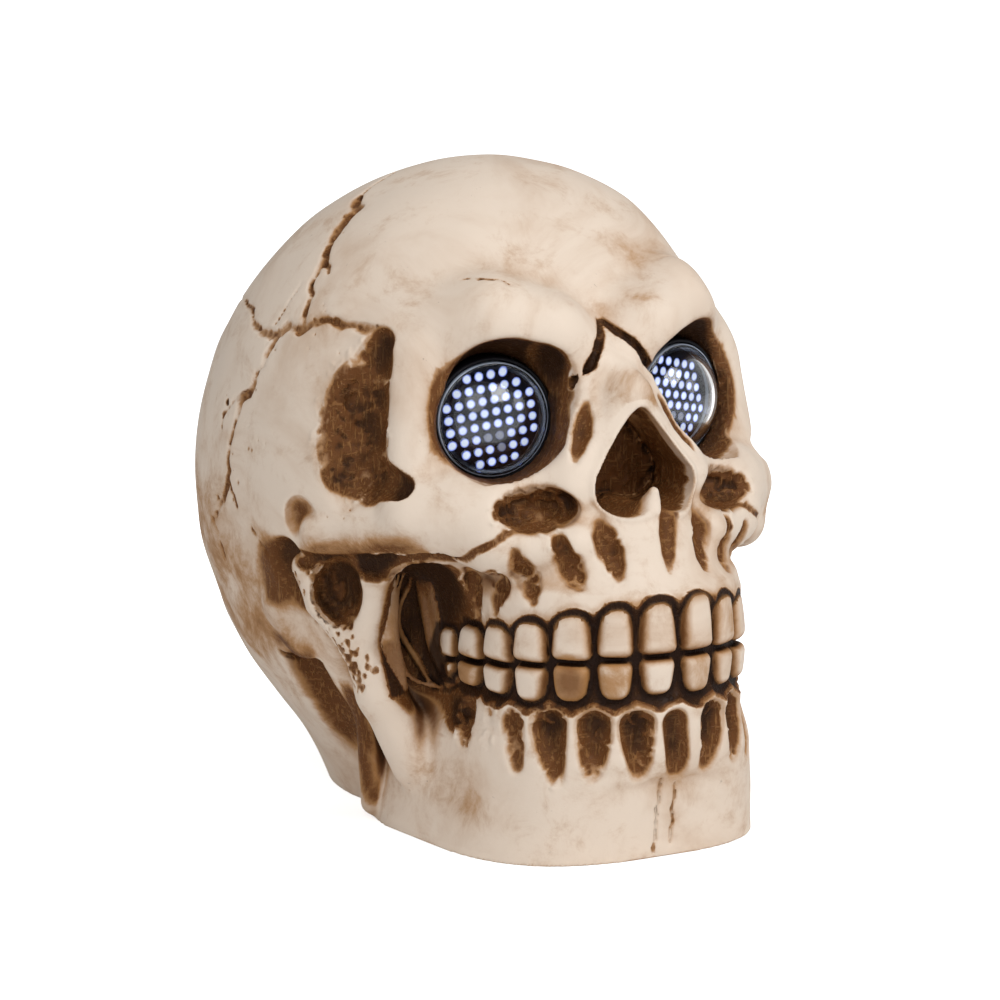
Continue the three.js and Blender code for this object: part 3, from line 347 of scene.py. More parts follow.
def jaw_form():
    def distance(x, y, z):
        lean = 0.16 * np.maximum(z, 0)
        dy = y + 31
        front = ((np.abs(x) / (37 - lean)) ** 2.8 + (np.maximum(-dy, 0) / (38.5 + lean)) ** 2.8) ** (1 / 2.8)
        back = ((np.abs(x) / (37 - lean)) ** 5 + (np.maximum(dy, 0) / 30) ** 5) ** 0.2
        ring = np.where(dy < 0, front, back)
        return -blend(-(ring - 1) * 37, 31 - z, 10)

    return np.array((0, -77, -6)), np.array((38, 1, 31)), distance


def crisp_behind(x, y, z):
    """Blend width: wide on the face, narrow at the edge of the temple."""
    t = np.clip((-28.0 - y) / 8.0, 0, 1)
    return (0.9 + 4.6 * t * t * (3 - 2 * t)) + 0 * x + 0 * z


# The tables below are in millimetres on the +X side.
# Rods that build the bone up: (start, end, radius at the start, radius at the end, blend width)
BROWS_AND_NOSE = (
    ((4, -44, 107), (13, -43.5, 112), 5.2, 5.9, 7),
    ((13, -43.5, 112), (24, -38.5, 115.5), 5.9, 6, 9),
    ((24, -38.5, 115.5), (37, -25.5, 108.5), 6, 5.3, 9),
    ((0, -42, 108), (0, -57.5, 100.2), 4.4, 2.6, 4),
    ((4, -47, 104), (14.2, -56, 80), 4.4, 5, 5),
    ((1.6, -56, 98.5), (9.6, -57, 82), 3.4, 3.4, 4),
)
CHEEKS = (
    ((38.5, -28, 107.5), (40.5, -32, 80), 5.4, 6.2, crisp_behind),
    ((34, -43, 77), (13, -52, 82), 6, 5, 6),
    ((42, -36, 73), (31, -47, 73), 7.6, 7.5, crisp_behind),
    ((29, -46, 70), (19, -55, 63), 6.5, 4.5, 7),
    ((31, -50, 67.5), (17, -61, 69), 4.6, 4.2, 4),
)
CHEEK_ARCH = (((52.4, -15, 67.8), (42, -36, 72.5), 5.2, 6.6, 1.4),)
JAW_BRANCH = (
    ((50, 2, 50), (48.8, -2, 42.5), 6.6, 4.8, 2.5),
    ((35, -7, 4), (39, -9.5, 42), 3, 3, 2),
    ((53.5, -10, 59.5), (51.4, -12.8, 52), 3.5, 3.5, 0.9),
    ((51.4, -12.8, 52), (46, -18, 44), 3.5, 4.2, 1),
    ((44.2, -25, 59), (45.2, -20.5, 46), 3.6, 3.9, 1),
    ((46, -18.5, 44), (41.5, -20.8, 32), 4.4, 4.7, 1.6),
    ((41.5, -20.8, 32), (33.5, -23, 16), 4.7, 6, 3),
)

# Paths on the skin: (x, y, z, radius)
TEMPLE = ((45.2, -26.6, 110.5, 3.6), (47.6, -26.6, 106, 5), (49.8, -26.2, 98, 6.2), (50.4, -26.6, 90, 6.4),
          (49.8, -28, 82.5, 5.6), (45.6, -36.8, 80, 3.2))
UNDER_ARCH = ((56, -12, 61.5, 1.8), (51.5, -21, 61.2, 2.2), (45.5, -31, 62, 3.6), (38.5, -41, 64.2, 3))
STRANDS = tuple(
    ((41.6 - 1.5 * n, -24, 59, 0.4), (40.4 - 1.4 * n, -23.5, 50, 0.6), (39 - 1.3 * n, -24.5, 41, 0.6),
     (36.8 - 1.1 * n, -27.5 - 0.4 * n, 34 + 0.1 * n, 0.4)) for n in range(10))
# Crease along the lower edge of the cheekbone, darkened as brown wash and painted shade.
CHEEK_EDGE = ((39, -40.5, 64, 1), (35.4, -46.5, 66.4, 0.6), (31.4, -51.6, 70, 0.6), (28.6, -54.4, 73, 0.9))
FROWN = ((0, -44.5, 114), (2.2, -47.5, 111.2), (4.4, -49.6, 109), (6.4, -50.4, 105.4), (8.6, -48.6, 101.2))

# Hollows: (form, blend width, wash for each millimetre of depth, how far the wash spreads)
SIDE_HOLLOWS = (
    (ball((54, -30, 92), (8, 11, 20)), 4, 0.2, 1),
    (rod((57.6, -6.5, 61), (56.2, -8.5, 51.5), 4.8, 4.4), 2, 0.7, 1.5),
    (rod((46, 1, 34), (37, 2, 14), 4.5, 4.5), 5, 0.25, 3),
)
CHEEK_HOLLOWS = (
    (ball((37.5, -34.5, 44), (10, 17, 19)), 3, 0.35, 1.5),
    (ball((58.2, -14, 70.8), (3.4, 5.6, 5.6)), 0.7, 0.42, 0.6),
)
TEMPLE_HOLLOW = tuple((form, 0.9, 0.75, 1.4) for form in links(TEMPLE))
ARCH_HOLLOWS = (
    *((form, 0.9, 1.1, 0.9) for form in links(UNDER_ARCH)),
    (ball((51.2, -18.8, 55), (5.2, 6.2, 7.6)), 0.9, 0.8, 0.8),
)
EYE_HOLLOWS = (
    (ball((25.2, -47.5, 97.4), (12.9, 17, 14.6)), 1.6, 1.3, 1),
    (ball((18.6, -48, 102), (8.4, 11, 8.4)), 1.8, 1.3, 1),
    (ball((24.5, -57, 76.6), (10, 6.8, 5)), 1.2, 0.9, 0.9),
)

# Wash on the skin, and painted shade under the cheek arch and beside the jaw branch: (form, amount, how far it
# fades)
SIDE_WASH_AND_SHADE = (
    (ball((54, -24.5, 93.5), (10.5, 6.6, 15.5)), 2.2, 3),
    (rod((52.5, -23.5, 82.5), (49, -29, 80), 4.6, 3.6), 2.4, 3),
    (rod((47, 1, 40), (38, 1, 17), 7.5, 6.5), 1.2, 6),
    # Brown wash and painted shade in the gap between the jaw branch and the neck.
    (rod((44, -8.5, 42), (36, -8.5, 6), 2.4, 2.2), 1.3, 3),
    (ball((22, -62, 2), (3, 3, 3.5)), 1, 3),
    (ball((57, -3, 57), (5, 6.5, 8.5)), 1, 6),
    (ball((34, -34, 10), (8, 26, 10)), 0.28, 14),
    (ball((54, 26, 44), (14, 34, 38)), 0.38, 24),
    # Painted shade along the underside of the cheek arch.
    (rod((54.4, -16.5, 63), (44.6, -37.6, 66.6), 5, 5.2), 0.62, 6),
    # Painted shade, with some brown wash, in the hollow under the cheek arch behind the teeth.
    (ball((35, -30, 47), (7.4, 11, 18)), 3.6, 6),
    (rod((35.5, -27, 37), (30.5, -36, 28.5), 4.6, 3.2), 2.6, 3),
    # Painted shadow under the cheek arch.
    *((form, 1.9, 2.4) for form in links(UNDER_ARCH)),
)
FACE_WASH = (
    (ball((2, -57, 99), (7, 6, 9)), 0.32, 8),
    (ball((0, -45, 118), (3.4, 4, 1.6)), 0.8, 3),
    (ball((10, -46, 118.5), (3.4, 4, 1.2)), 0.4, 4),
    (ball((23.5, -39, 94.5), (15.6, 14, 15.8)), 2, 3),
    (ball((24.5, -56, 75.4), (7.5, 6, 3.2)), 2, 1.4),
)

# Grooves: (start, end, radii or width), cut with one blend width, wash and spread
GROOVE = (0.8, 0.9, 0.7)
SOCKETS = (
    ((9.9, -74.6, 30.6), (8.6, -73.6, 20.5), 4.9, 2.6),
    ((18.1, -70.4, 30.6), (18.6, -70.5, 21.5), 4.7, 2.9),
    ((25, -62.6, 30.4), (24.8, -65.6, 19.8), 5, 2.2),
    ((28.6, -54.6, 30.2), (29.6, -57.6, 21.5), 3.6, 2.3),
    ((29.2, -47.4, 31), (30, -47.8, 28.5), 1.9, 1.6),
    ((29.8, -48, 25), (30.2, -48.4, 23.5), 1.3, 1),
    ((29.2, -38.2, 29.8), (31, -41, 23.5), 3.6, 2.4),
)
ROOT_GROOVES = (
    ((12.2, -63, 73.5), (11.2, -70.2, 62.4), 3.3),
    ((20, -60, 69.2), (18.4, -65, 60.6), 3.2),
    ((28.6, -55.4, 68), (25.2, -58.2, 57), 3.2),
    ((31.5, -51.2, 64.6), (27.6, -47.8, 53.5), 3.2),
    ((31, -40.5, 61.5), (28.2, -39.5, 51), 2.8),
)
MIDDLE_ROOT = ((2.8, -63.5, 77), (0.4, -71, 63), 2.7)
NOSE_SIDE = ((10.2, -54.6, 98), (14.8, -57.4, 86), 2.8)
NOSE_BOX = vec(((0, -80, 70), (13, -46, 100)))

# Plane that flattens the far brow: box, direction, distance along it, blend width
FAR_BROW = ((8, -60, 85), (62, 30, 145), (0.751, -0.347, 0.562), 103.15, 2.5)

# Scraped strands: (region, how many, length); pits: (region, how many, size)
FIBRES = (
    (ball((50, -26, 94), (7, 10, 20)), 150, 6),
    (ball((24.5, -54, 76.6), (9, 6, 6)), 60, 4),
    (ball((7, -48, 84), (7, 6, 12)), 60, 4),
    *((rod(*socket), 16, 3) for socket in SOCKETS),
    *((rod(start, end, r, r), 10, 3) for start, end, r in ROOT_GROOVES),
    (rod((45, -31, 62), (38.5, -41, 64.2), 4, 4), 30, 4),
)
PITS = (
    (rod((53.5, -12, 56), (44, -20, 36), 5, 5), 300, 0.5),
    (ball((50, -8, 112), (8, 16, 8)), 14, 0.4),
    (ball((57, 10, 92), (6, 14, 20)), 14, 0.4),
    (rod((14, -44, 117), (30, -36, 116), 4, 4), 10, 0.4),
    (rod((52, -16, 68), (36, -42, 74), 6, 6), 12, 0.35),
    (ball((36, -15, 18), (6, 14, 14)), 12, 0.35),
)


def on_skin(grid, points, lift):
    spots = grid.settle(points)
    return spots + grid.normals(spots) * np.reshape(lift, (-1, 1))


def spindle(grid, start, end, width):
    """Leaf-shaped groove cutter that follows the skin."""
    share = np.linspace(0, 1, 5)[:, None]
    spots = np.array(start) * (1 - share) + np.array(end) * share
    radii = np.array((0.4, 0.85, 1.0, 0.8, 0.4)) * width
    spots = on_skin(grid, spots.astype(np.float32), radii * 0.3)
    parts = [rod(spots[n], spots[n + 1], radii[n], radii[n + 1]) for n in range(4)]
    low, high = np.min([p[0] for p in parts], axis=0), np.max([p[1] for p in parts], axis=0)
    return low, high, lambda x, y, z: np.minimum.reduce([p[2](x, y, z) for p in parts])


def nose_opening(x, y, z):
    """Heart-shaped opening, pointed at the top, running straight back."""
    run = vec((5.5, -14.9))
    px, pz = np.sqrt(x * x + 5.0) - 1.0, z - 95.8
    t = np.clip((px * run[0] + pz * run[1]) / float(run @ run), 0, 1)
    return np.hypot(px - run[0] * t, pz - run[1] * t) - (1.7 + 4.7 * t) + 0 * y


def along_skin(grid, places, count, lift, even=0):
    """A path with more points, each brought onto the skin, lifted by a share of its radius and evened."""
    places = vec(places)
    share, fine = np.linspace(0, 1, len(places)), np.linspace(0, 1, count)
    path = np.stack([np.interp(fine, share, column) for column in places.T], axis=1).astype(np.float32)
    spots = on_skin(grid, path[:, :3], lift * path[:, 3])
    for _ in range(even):
        spots[1:-1] = (spots[:-2] + 2 * spots[1:-1] + spots[2:]) / 4
    return [(*spot, r) for spot, r in zip(spots, path[:, 3])]


def shave(grid, low, high, tilt, level, soft):
    """Takes off what lies past a plane, given by its direction and its distance along it."""
    low, high = vec(low), vec(high)
    tilt = vec(tilt) / np.linalg.norm(tilt)
    grid.carve((low, high, lambda x, y, z: level - (x * tilt[0] + y * tilt[1] + z * tilt[2])), soft)


def groove(grid, start, end, r0, r1, lifts):
    """Straight groove whose ends lie over the skin."""
    ends = on_skin(grid, [start, end], lifts)
    grid.carve(rod(ends[0], ends[1], r0, r1), *GROOVE)


def open_nose(grid):
    """Nose opening with a raised rim and the spine below it."""
    cut, place = grid.patch(*NOSE_BOX, 2)
    rim = np.hypot(nose_opening(*place), grid.d[cut]) - 0.9
    grid.d[cut] = blend(grid.d[cut], rim, 0.9)
    back = NOSE_BOX[1][1]
    grid.carve((*NOSE_BOX, lambda x, y, z: np.maximum(nose_opening(x, y, z), y - back)), 0.7, 0.45, 0.4)
    grid.join(rod((0, -60.0, 69), (0, -65.4, 79.4), 5.0, 0.9), 3)


def fibres(grid, region, count, length, dice):
    """Fine strands lying on the skin inside a region, like scraped bone."""
    low, high, inside = region
    spots = dice.uniform(low, high, (count * 4, 3)).astype(np.float32)
    spots = grid.settle(spots, 8)
    near = inside(spots[:, 0], spots[:, 1], spots[:, 2])
    kept = (near < 0.6) & (np.abs(grid.sample(spots)) < 0.3) & (grid.sample(spots, grid.wash) > 0.6)
    spots = spots[kept][:count]
    if not len(spots):
        return
    normals = grid.normals(spots)
    ahead = np.cross(normals, dice.normal(size=spots.shape))
    ahead /= np.maximum(np.linalg.norm(ahead, axis=1, keepdims=True), 1e-6)
    bend = np.cross(normals, ahead) * dice.uniform(-0.5, 0.5, (len(spots), 1))
    reach = length * dice.uniform(0.6, 1.3, (len(spots), 1))
    track = [spots + ahead * reach * t + bend * reach * t * t for t in (-0.5, 0.0, 0.5)]
    track = [on_skin(grid, t.astype(np.float32), 0.05) for t in track]
    for start, middle, end in zip(*track):
        r = dice.uniform(0.3, 0.44)
        grid.join(rod(start, middle, r, r), 0.3)
        grid.join(rod(middle, end, r, r), 0.3)


def pits(grid, region, count, size, dice):
    """Small dark holes in the skin."""
    low, high, inside = region
    spots = grid.settle(dice.uniform(low, high, (count * 3, 3)).astype(np.float32), 8)
    near = inside(spots[:, 0], spots[:, 1], spots[:, 2])
    for spot in spots[near < 0.5][:count]:
        r = size * dice.uniform(0.5, 1.2)
        grid.carve(ball(spot, (r, r, r * 1.4)), 0.3, 2.2, 0.4)


def build_up(grid, rods):
    for *form, soft in rods:
        grid.join(rod(*form), soft)


def hollow_out(grid, hollows_cut):
    for hollow in hollows_cut:
        grid.carve(*hollow)


def carve_bone(sizes):
    """The bone as one blended form with its carved details."""
    grid = BoneGrid(sizes.voxel / MM * (1.0))
    upper_edge = gum_edge(UPPER_HEIGHTS, 1, 1.3, 2.4)
    lower_edge = gum_edge(LOWER_HEIGHTS, -1, 3.4, 1.8)
    grid.join(neck_form(), 8)
    grid.join(ball((0, -45, 66), (22, 24, 20)), 8)
    grid.join(arch_wall(ARCH_RADIUS - BED_DEPTH, 0, 24, 59, 2), 4)
    build_up(grid, BROWS_AND_NOSE)
    hollow_out(grid, SIDE_HOLLOWS)
    build_up(grid, CHEEKS)
    grid.join(arch_wall(ARCH_RADIUS - 0.9, 0.62, 56, 76, 1.6, upper_edge, True), 4)
    grid.join(jaw_form(), 4)
    grid.join(arch_wall(ARCH_RADIUS - 2.9, -0.2, 20, 36, 1.8, lower_edge, False), 4)
    hollow_out(grid, CHEEK_HOLLOWS)
    build_up(grid, CHEEK_ARCH)
    hollow_out(grid, TEMPLE_HOLLOW)
    build_up(grid, JAW_BRANCH)
    hollow_out(grid, ARCH_HOLLOWS)
    for places in STRANDS:
        for form in links(along_skin(grid, places, 22, 0.1, 6)):
            grid.join(form, 0.5)
    # The crease under the cheekbone is cut shallow and darkened: brown wash and painted shade below the cheekbone.
    hollow_out(grid, [(form, 0.9, 1.8, 0.9) for form in links(along_skin(grid, CHEEK_EDGE, 12, 0.3))])
    hollow_out(grid, EYE_HOLLOWS)
    # Brown wash, and painted shade under the cheek arch, put on the skin.
    for wash in SIDE_WASH_AND_SHADE + FACE_WASH:
        grid.tint(*wash)
    grid.carve(spindle(grid, *NOSE_SIDE), 0.8, 1.0, 0.8)
    open_nose(grid)
    for root in ROOT_GROOVES:
        grid.carve(spindle(grid, *root), *GROOVE)
    for start, end, r0, r1 in SOCKETS:
        groove(grid, start, end, r0, r1, [0.32 * r0, 0.5 * r1])
    frown = on_skin(grid, FROWN, -0.35)
    for n in range(len(frown) - 1):
        grid.carve(rod(frown[n], frown[n + 1], 0.5 + 0.2 * n, 0.7 + 0.2 * n), 0.6, 2.6, 0.8)
    dice = np.random.default_rng(DETAIL_SEED)
    for region, count, length in FIBRES:
        fibres(grid, region, count, length, dice)
    for region, count, size in PITS:
        pits(grid, region, count, size, dice)
    grid.mirror()
    grid.join(ball((41.5, -35.5, 64.5), (6.2, 8.0, 6.2)), 4)
    shave(grid, *FAR_BROW)
    grid.carve(spindle(grid, *MIDDLE_ROOT), *GROOVE)
    groove(grid, (-1.2, -75.6, 31.0), (0.8, -74.2, 20.0), 3.6, 2.6, [1.1, 1.2])
    bed = arch_wall(ARCH_RADIUS - BED_DEPTH + 0.9, 0, 30, 62, 1)
    cut, (x, y, z) = grid.patch(bed[0] - (40, 0, 0), bed[1], 2)
    run = arch_run(x, y)
    band = np.clip(np.minimum(upper_edge(run) - z, z - lower_edge(run)) + 0.6, 0, 1)
    grid.brush(cut, 3.2 * band * (y < ARCH_BACK_Y - 4))
    return grid


# Brown teeth: (row sign, number from the middle, side) and how brown
STAINED = {(-1, 2, -1): 1.0, (-1, 1, -1): 0.45, (-1, 5, -1): 0.5, (-1, 0, 1): 0.3, (1, 1, 1): 0.3, (-1, 3, 1): 0.6,
           (1, 4, 1): 0.35}


def add_teeth(grid):
    """Pillow-shaped crowns along both rows, each a little different.

    Returns the bone before, the brown teeth and the places of the crowns.
    """
    dice = np.random.default_rng(TOOTH_SEED)
    before, stained, crowns = grid.d.copy(), [], []
    for sign, heights, gap in ((1, UPPER_HEIGHTS, UPPER_GAP), (-1, LOWER_HEIGHTS, LOWER_GAP)):
        for n, middle in enumerate(tooth_centres()[0]):
            for side in (1, -1):
                turn = min(middle, ARCH_QUARTER) / ARCH_RADIUS
                out = np.array((side * sin(turn), -cos(turn), 0))
                across = np.array((-out[1], out[0], 0))
                spot = out * (ARCH_RADIUS - 2.6)
                spot[1] += ARCH_CENTRE_Y + max(middle - ARCH_QUARTER, 0)
                height = heights[n] * (1 + dice.uniform(-0.04, 0.04))
                half_w = (TOOTH_WIDTHS[n] - gap) / 2 * (1 + dice.uniform(-0.05, 0.05))
                spot[2] = bite_height(middle) + sign * (0.55 + height / 2)
                lean, roll = dice.uniform(-0.03, 0.03, 2)
                push = dice.uniform(-0.25, 0.25)
                grid.join(crown(spot, across, out, half_w, height / 2, sign, lean, roll, push), 0.35)
                crowns.append((spot, across, half_w, height / 2, sign))
                if (sign, n, side) in STAINED:
                    stained.append((spot + out * 2 - (0, 0, sign * 1.0), STAINED[sign, n, side]))
    return before, stained, crowns


def crown_width(v):
    """Share of a crown's width from its biting edge, -1, to the gum, 1."""
    return 0.97 - 0.11 * np.clip(v, -1, 1) - 0.16 * np.clip(v, 0, 1) ** 2


def crown(spot, across, out, half_w, half_h, sign, lean, roll, push):
    def distance(x, y, z):
        dx, dy, dz = x - spot[0], y - spot[1], z - spot[2]
        u = dx * across[0] + dy * across[1] + roll * dz
        w = dx * out[0] + dy * out[1] - push + 0.09 * sign * dz + lean * u
        v = dz * sign
        w = w + 0.035 * u * u + 0.006 * v * v
        r = min(1.9, 0.55 * half_h, 0.55 * half_w)
        qx, qy, qz = np.abs(u) - half_w * crown_width(v / half_h) + r, np.abs(v) - half_h + r, np.abs(w) - 2.9 + r
        away = np.sqrt(np.maximum(qx, 0) ** 2 + np.maximum(qy, 0) ** 2 + np.maximum(qz, 0) ** 2)
        return away + np.minimum(np.maximum(np.maximum(qx, qy), qz), 0) - r

    reach = np.array((half_w + 2, half_w + 2, half_h + 1))
    return spot - reach, spot + reach, distance


# Cracks on the -X side: (points on the surface, half width at the start and the end)
CRACKS = (
    (((-14, 15.9, 141.1), (-20.3, 13, 139.7), (-24, 12.5, 138.1), (-28.3, 11, 135.9)), 0.3, 0.35),
    (((-28.3, 11, 135.9), (-30.7, 6.4, 134.8), (-32.8, 6.7, 133.3), (-35, 6, 131.6), (-37.4, 5.2, 129.6),
      (-39.7, 3.7, 127.3), (-42.3, 1.3, 124.6)), 0.9, 0.9),
    (((-42.3, 1.3, 124.6), (-45.7, 0.9, 120.3), (-47.3, -1.8, 117.9), (-48.8, -2.2, 115.5), (-51.4, -4.1, 110.5)),
     0.6, 0.75),
    (((-42.3, 1.3, 124.6), (-43.8, -2.9, 122.5)), 0.6, 0.3),
    (((-51.4, -4.1, 110.5), (-50.4, -6.2, 111.9), (-48.7, -10.3, 113.6), (-48.1, -13, 113.4), (-47.6, -15.4, 112.7),
      (-46.3, -18.1, 113.1), (-44.6, -22.7, 112.5)), 0.7, 1.0),
    (((-51.4, -4.1, 110.5), (-51.5, 1.4, 111), (-53.1, 3.9, 107.9), (-54.7, 5.3, 104.2), (-55.5, 5, 102.1),
      (-56.2, 7.1, 100), (-57.5, 7.8, 95.6), (-57.8, 11, 94.1)), 0.8, 0.7),
    (((-57.8, 11, 94.1), (-58.5, 11.6, 90.7), (-59.1, 12.6, 87.3), (-59.7, 14.2, 80.5), (-59.9, 13.5, 77.6),
      (-59.6, 16.4, 70.8), (-58.8, 20.9, 66.7), (-58.2, 23.7, 65.1)), 0.7, 0.5),
    (((-58.2, 23.7, 65.1), (-58.1, 21.5, 62.4), (-57.6, 20.6, 59.1), (-56.9, 20.3, 56.2)), 0.45, 0.25),
    (((-52.8, 4.3, 108.5), (-52.7, 11.1, 108.4), (-52.1, 14.4, 109.1), (-49.9, 19.7, 111.8)), 0.8, 0.6),
    (((-46.2, 4.2, 119.7), (-48.8, 4.9, 115.9), (-51.9, 6.6, 110.4)), 0.25, 0.3),
    (((-57.5, 7.8, 95.6), (-57.7, 14.1, 93.7), (-58.3, 18.8, 88.9), (-58.6, 18.3, 86)), 0.6, 0.3),
    (((-59.9, 13.6, 75.1), (-59.9, 11.4, 72.4), (-59.8, 10.1, 70)), 0.35, 0.25),
    (((-59.3, 4.4, 66), (-58.6, 2, 63.8), (-57, 0, 61.5)), 0.35, 0.6),
    (((-50.4, 6.8, 37.3), (-46.8, 3.5, 35), (-47.5, -5, 37.5)), 0.7, 0.9),
    (((-2.6, -72.4, 18.2), (-2.5, -71.1, 10), (-2.1, -69.8, 1)), 0.1, 0.16),
    (((1.4, -72.1, 16.5), (1.7, -71, 9.4), (1.9, -70, 3)), 0.12, 0.1),
    (((-26.9, -33.6, 120.2), (-25.4, -36.9, 120.1), (-22.1, -41.6, 120.4)), 0.35, 0.2),
    (((-49.9, 19.7, 111.8), (-46, 30, 113), (-42, 38, 110), (-38, 46, 106), (-30, 54, 101)), 0.5, 0.35),
    (((-38, 46, 106), (-40, 49, 98), (-37, 54, 90), (-38, 54.5, 84)), 0.4, 0.2),
)
CRACK_TABLE_WIDTH = 1.5  # the crack width that these half widths stand for
CRACK_STEP = 1.6
HAIRLINE = 0.25


def add_cracks(grid, sizes):
    """Ragged cracks; those well off the middle come again on the +X side, shifted and worn a little differently."""
    dice = np.random.default_rng(CRACK_SEED)
    width = sizes.crack_width / MM / CRACK_TABLE_WIDTH
    for side in (1, -1):
        for places, r0, r1 in CRACKS:
            if side < 0 and abs(places[0][0]) < 20:
                continue
            spots = vec(places)
            if side < 0:
                spots = spots * (-1, 1, 1) + (0, 3.0, -2.5) + dice.uniform(-1.2, 1.2, spots.shape)
            track = [spots[0]]
            for a, b in zip(spots, spots[1:]):
                parts = max(1, int(np.linalg.norm(b - a) / CRACK_STEP))
                for n in range(1, parts + 1):
                    wander = dice.uniform(-0.45, 0.45, 3) if n < parts else 0
                    track.append(a + (b - a) * n / parts + wander)
            track = vec(track)
            band, deep = on_skin(grid, track, 0.5), on_skin(grid, track, -0.1)
            for n in range(len(track) - 1):
                r = (r0 + (r1 - r0) * n / len(track)) * width
                if r < HAIRLINE:
                    grid.carve(rod(deep[n], deep[n + 1], 0.42, 0.42), 0.3, dice.uniform(0.4, 1.6), 0.5)
                    continue
                wide = 0.1 + 0.95 * r * dice.uniform(0.7, 1.3)
                grid.carve(rod(band[n], band[n + 1], wide, wide), 0.5, 1.0, 0.8)
                thin = 0.14 + 0.4 * r * dice.uniform(0.4, 1.5)
                grid.carve(rod(deep[n], deep[n + 1], thin, thin), 0.3, 4.0, 0.4)
                if dice.random() < 0.3:
                    spot = on_skin(grid, track[n] + dice.normal(scale=1.3 * wide, size=3).astype(np.float32), 0)[0]
                    size = dice.uniform(0.3, 0.65)
                    grid.carve(ball(spot, (size, size, size)), 0.3, 2.0, 0.5)


def smooth_noise(grid, scale, seed):
    """Soft lumps of one size, between -1 and 1."""
    dice = np.random.default_rng(seed)
    counts = [int(len(a) * grid.step / scale) + 3 for a in grid.axes]
    rough = dice.uniform(-1, 1, counts).astype(np.float32)
    for n, axis in enumerate(grid.axes):
        t = (axis - axis[0]) / scale
        i = t.astype(int)
        f = (t - i).astype(np.float32)
        f = f * f * (3 - 2 * f)
        shape = [1, 1, 1]
        shape[n] = len(axis)
        f = f.reshape(shape)
        rough = np.take(rough, i, axis=n) * (1 - f) + np.take(rough, i + 1, axis=n) * f
    return rough


def bore(grid, side):
    """Round seat of an eye cup."""
    out = vec((side * EYE_SIN, -EYE_COS, 0))
    spot = vec((side * EYE_SPACING / 2, EYE_Y, EYE_Z))
    back, seat, front = -13.7, 1.6, 14

    def distance(x, y, z):
        dx, dy, dz = x - spot[0], y - spot[1], z - spot[2]
        h = dx * out[0] + dy * out[1]
        r = np.sqrt(np.maximum(dx * dx + dy * dy + dz * dz - h * h, 0))
        outer = np.clip((side * dx * EYE_COS + dy * EYE_SIN) / LENS_RADIUS, 0, 1)
        outer = outer * np.clip(1.15 + dz / LENS_RADIUS, 0, 1)
        wide = np.where(h < seat, CUP_RADIUS, LENS_RADIUS + 0.5 * outer * (h - seat)) + FIT_GAP
        return np.maximum(np.maximum(r - wide, back - h), h - front)

    reach = vec((24, 24, 16))
    grid.carve((spot - reach, spot + reach, distance), 0.4)


def extent(obj):
    points = np.array([obj.matrix_world @ v.co for v in obj.data.vertices]) / MM - (0, CENTRE_SHIFT_Y, 0)
    return points.min(axis=0), points.max(axis=0)


def cut_block(grid, low, high):
    low = np.array((low[0], low[1], -4))
    middle, half = (low + high) / 2, (high - low) / 2

    def distance(x, y, z):
        away = [np.abs(v - c) - h for v, c, h in zip((x, y, z), middle, half)]
        return np.maximum(np.maximum(away[0], away[1]), away[2])

    grid.carve((low, high, distance), 0.2)


def pocket(grid):
    """Seat of the battery box and the way out of its door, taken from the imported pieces."""
    box, door = (extent(frame["nodes"][name]) for name in ("battery_box", "battery_door"))
    cut_block(grid, box[0] - FIT_GAP, box[1] + FIT_GAP)
    low = np.array((door[0][0] - 1, door[0][1] - DOOR_TRAVEL, -2))
    high = np.array((door[1][0] + 1, box[0][1], door[1][2] + 0.6))
    cut_block(grid, low, high)


def skin(grid, limit):
    """The surface of the grid as a smooth mesh, with fewer triangles where it is nearly flat."""
    volume = openvdb.FloatGrid(3.0)
    volume.copyFromArray(np.clip(grid.d, -3, 3))
    volume.transform = openvdb.createLinearTransform(voxelSize=grid.step)
    points, _, quads = volume.convertToPolygons(isovalue=0.0, adaptivity=0.0)
    if not len(quads):
        raise RuntimeError("the carved bone has no surface")
    full = bpy.data.meshes.new("bone_work")
    full.from_pydata(points + vec([axis[0] for axis in grid.axes]), [], quads[:, ::-1])
    full.update()
    work = link_object("bone_work", full)
    work.modifiers.new("thin", "DECIMATE").ratio = min(1.0, limit / (2 * len(quads)))
    mesh = bpy.data.meshes.new_from_object(work.evaluated_get(bpy.context.evaluated_depsgraph_get()))
    bpy.data.objects.remove(work)
    bpy.data.meshes.remove(full)
    mesh.name = "bone_casting"
    mesh.polygons.foreach_set("use_smooth", np.ones(len(mesh.polygons), bool))
    return mesh


def hollows(grid, points, normals, reaches):
    """How deep the points lie between their surroundings, 0 in the open to 1."""
    total = 0
    for reach in reaches:
        gap = grid.sample(points + normals * reach)
        total = total + np.clip(1 - gap / reach, 0, 1.5)
    return np.clip(total / len(reaches), 0, 1)


def blurred(array, reach):
    """Box mean of an array, a number of steps to each side."""
    for axis in range(3):
        pad = [(0, 0)] * 3
        pad[axis] = (reach + 1, reach)
        total = np.cumsum(np.pad(array, pad, mode="edge"), axis=axis, dtype=np.float32)
        size = array.shape[axis]
        ahead = np.take(total, range(2 * reach + 1, 2 * reach + 1 + size), axis=axis)
        array = (ahead - np.take(total, range(size), axis=axis)) / (2 * reach + 1)
    return array


def convex(grid, points, normals):
    """How sharply the skin bends outwards, 0 where it is flat to 1."""
    return np.clip((grid.sample(points - normals * 1.6) + 1.6) / 0.8 - 0.12, 0, 1)


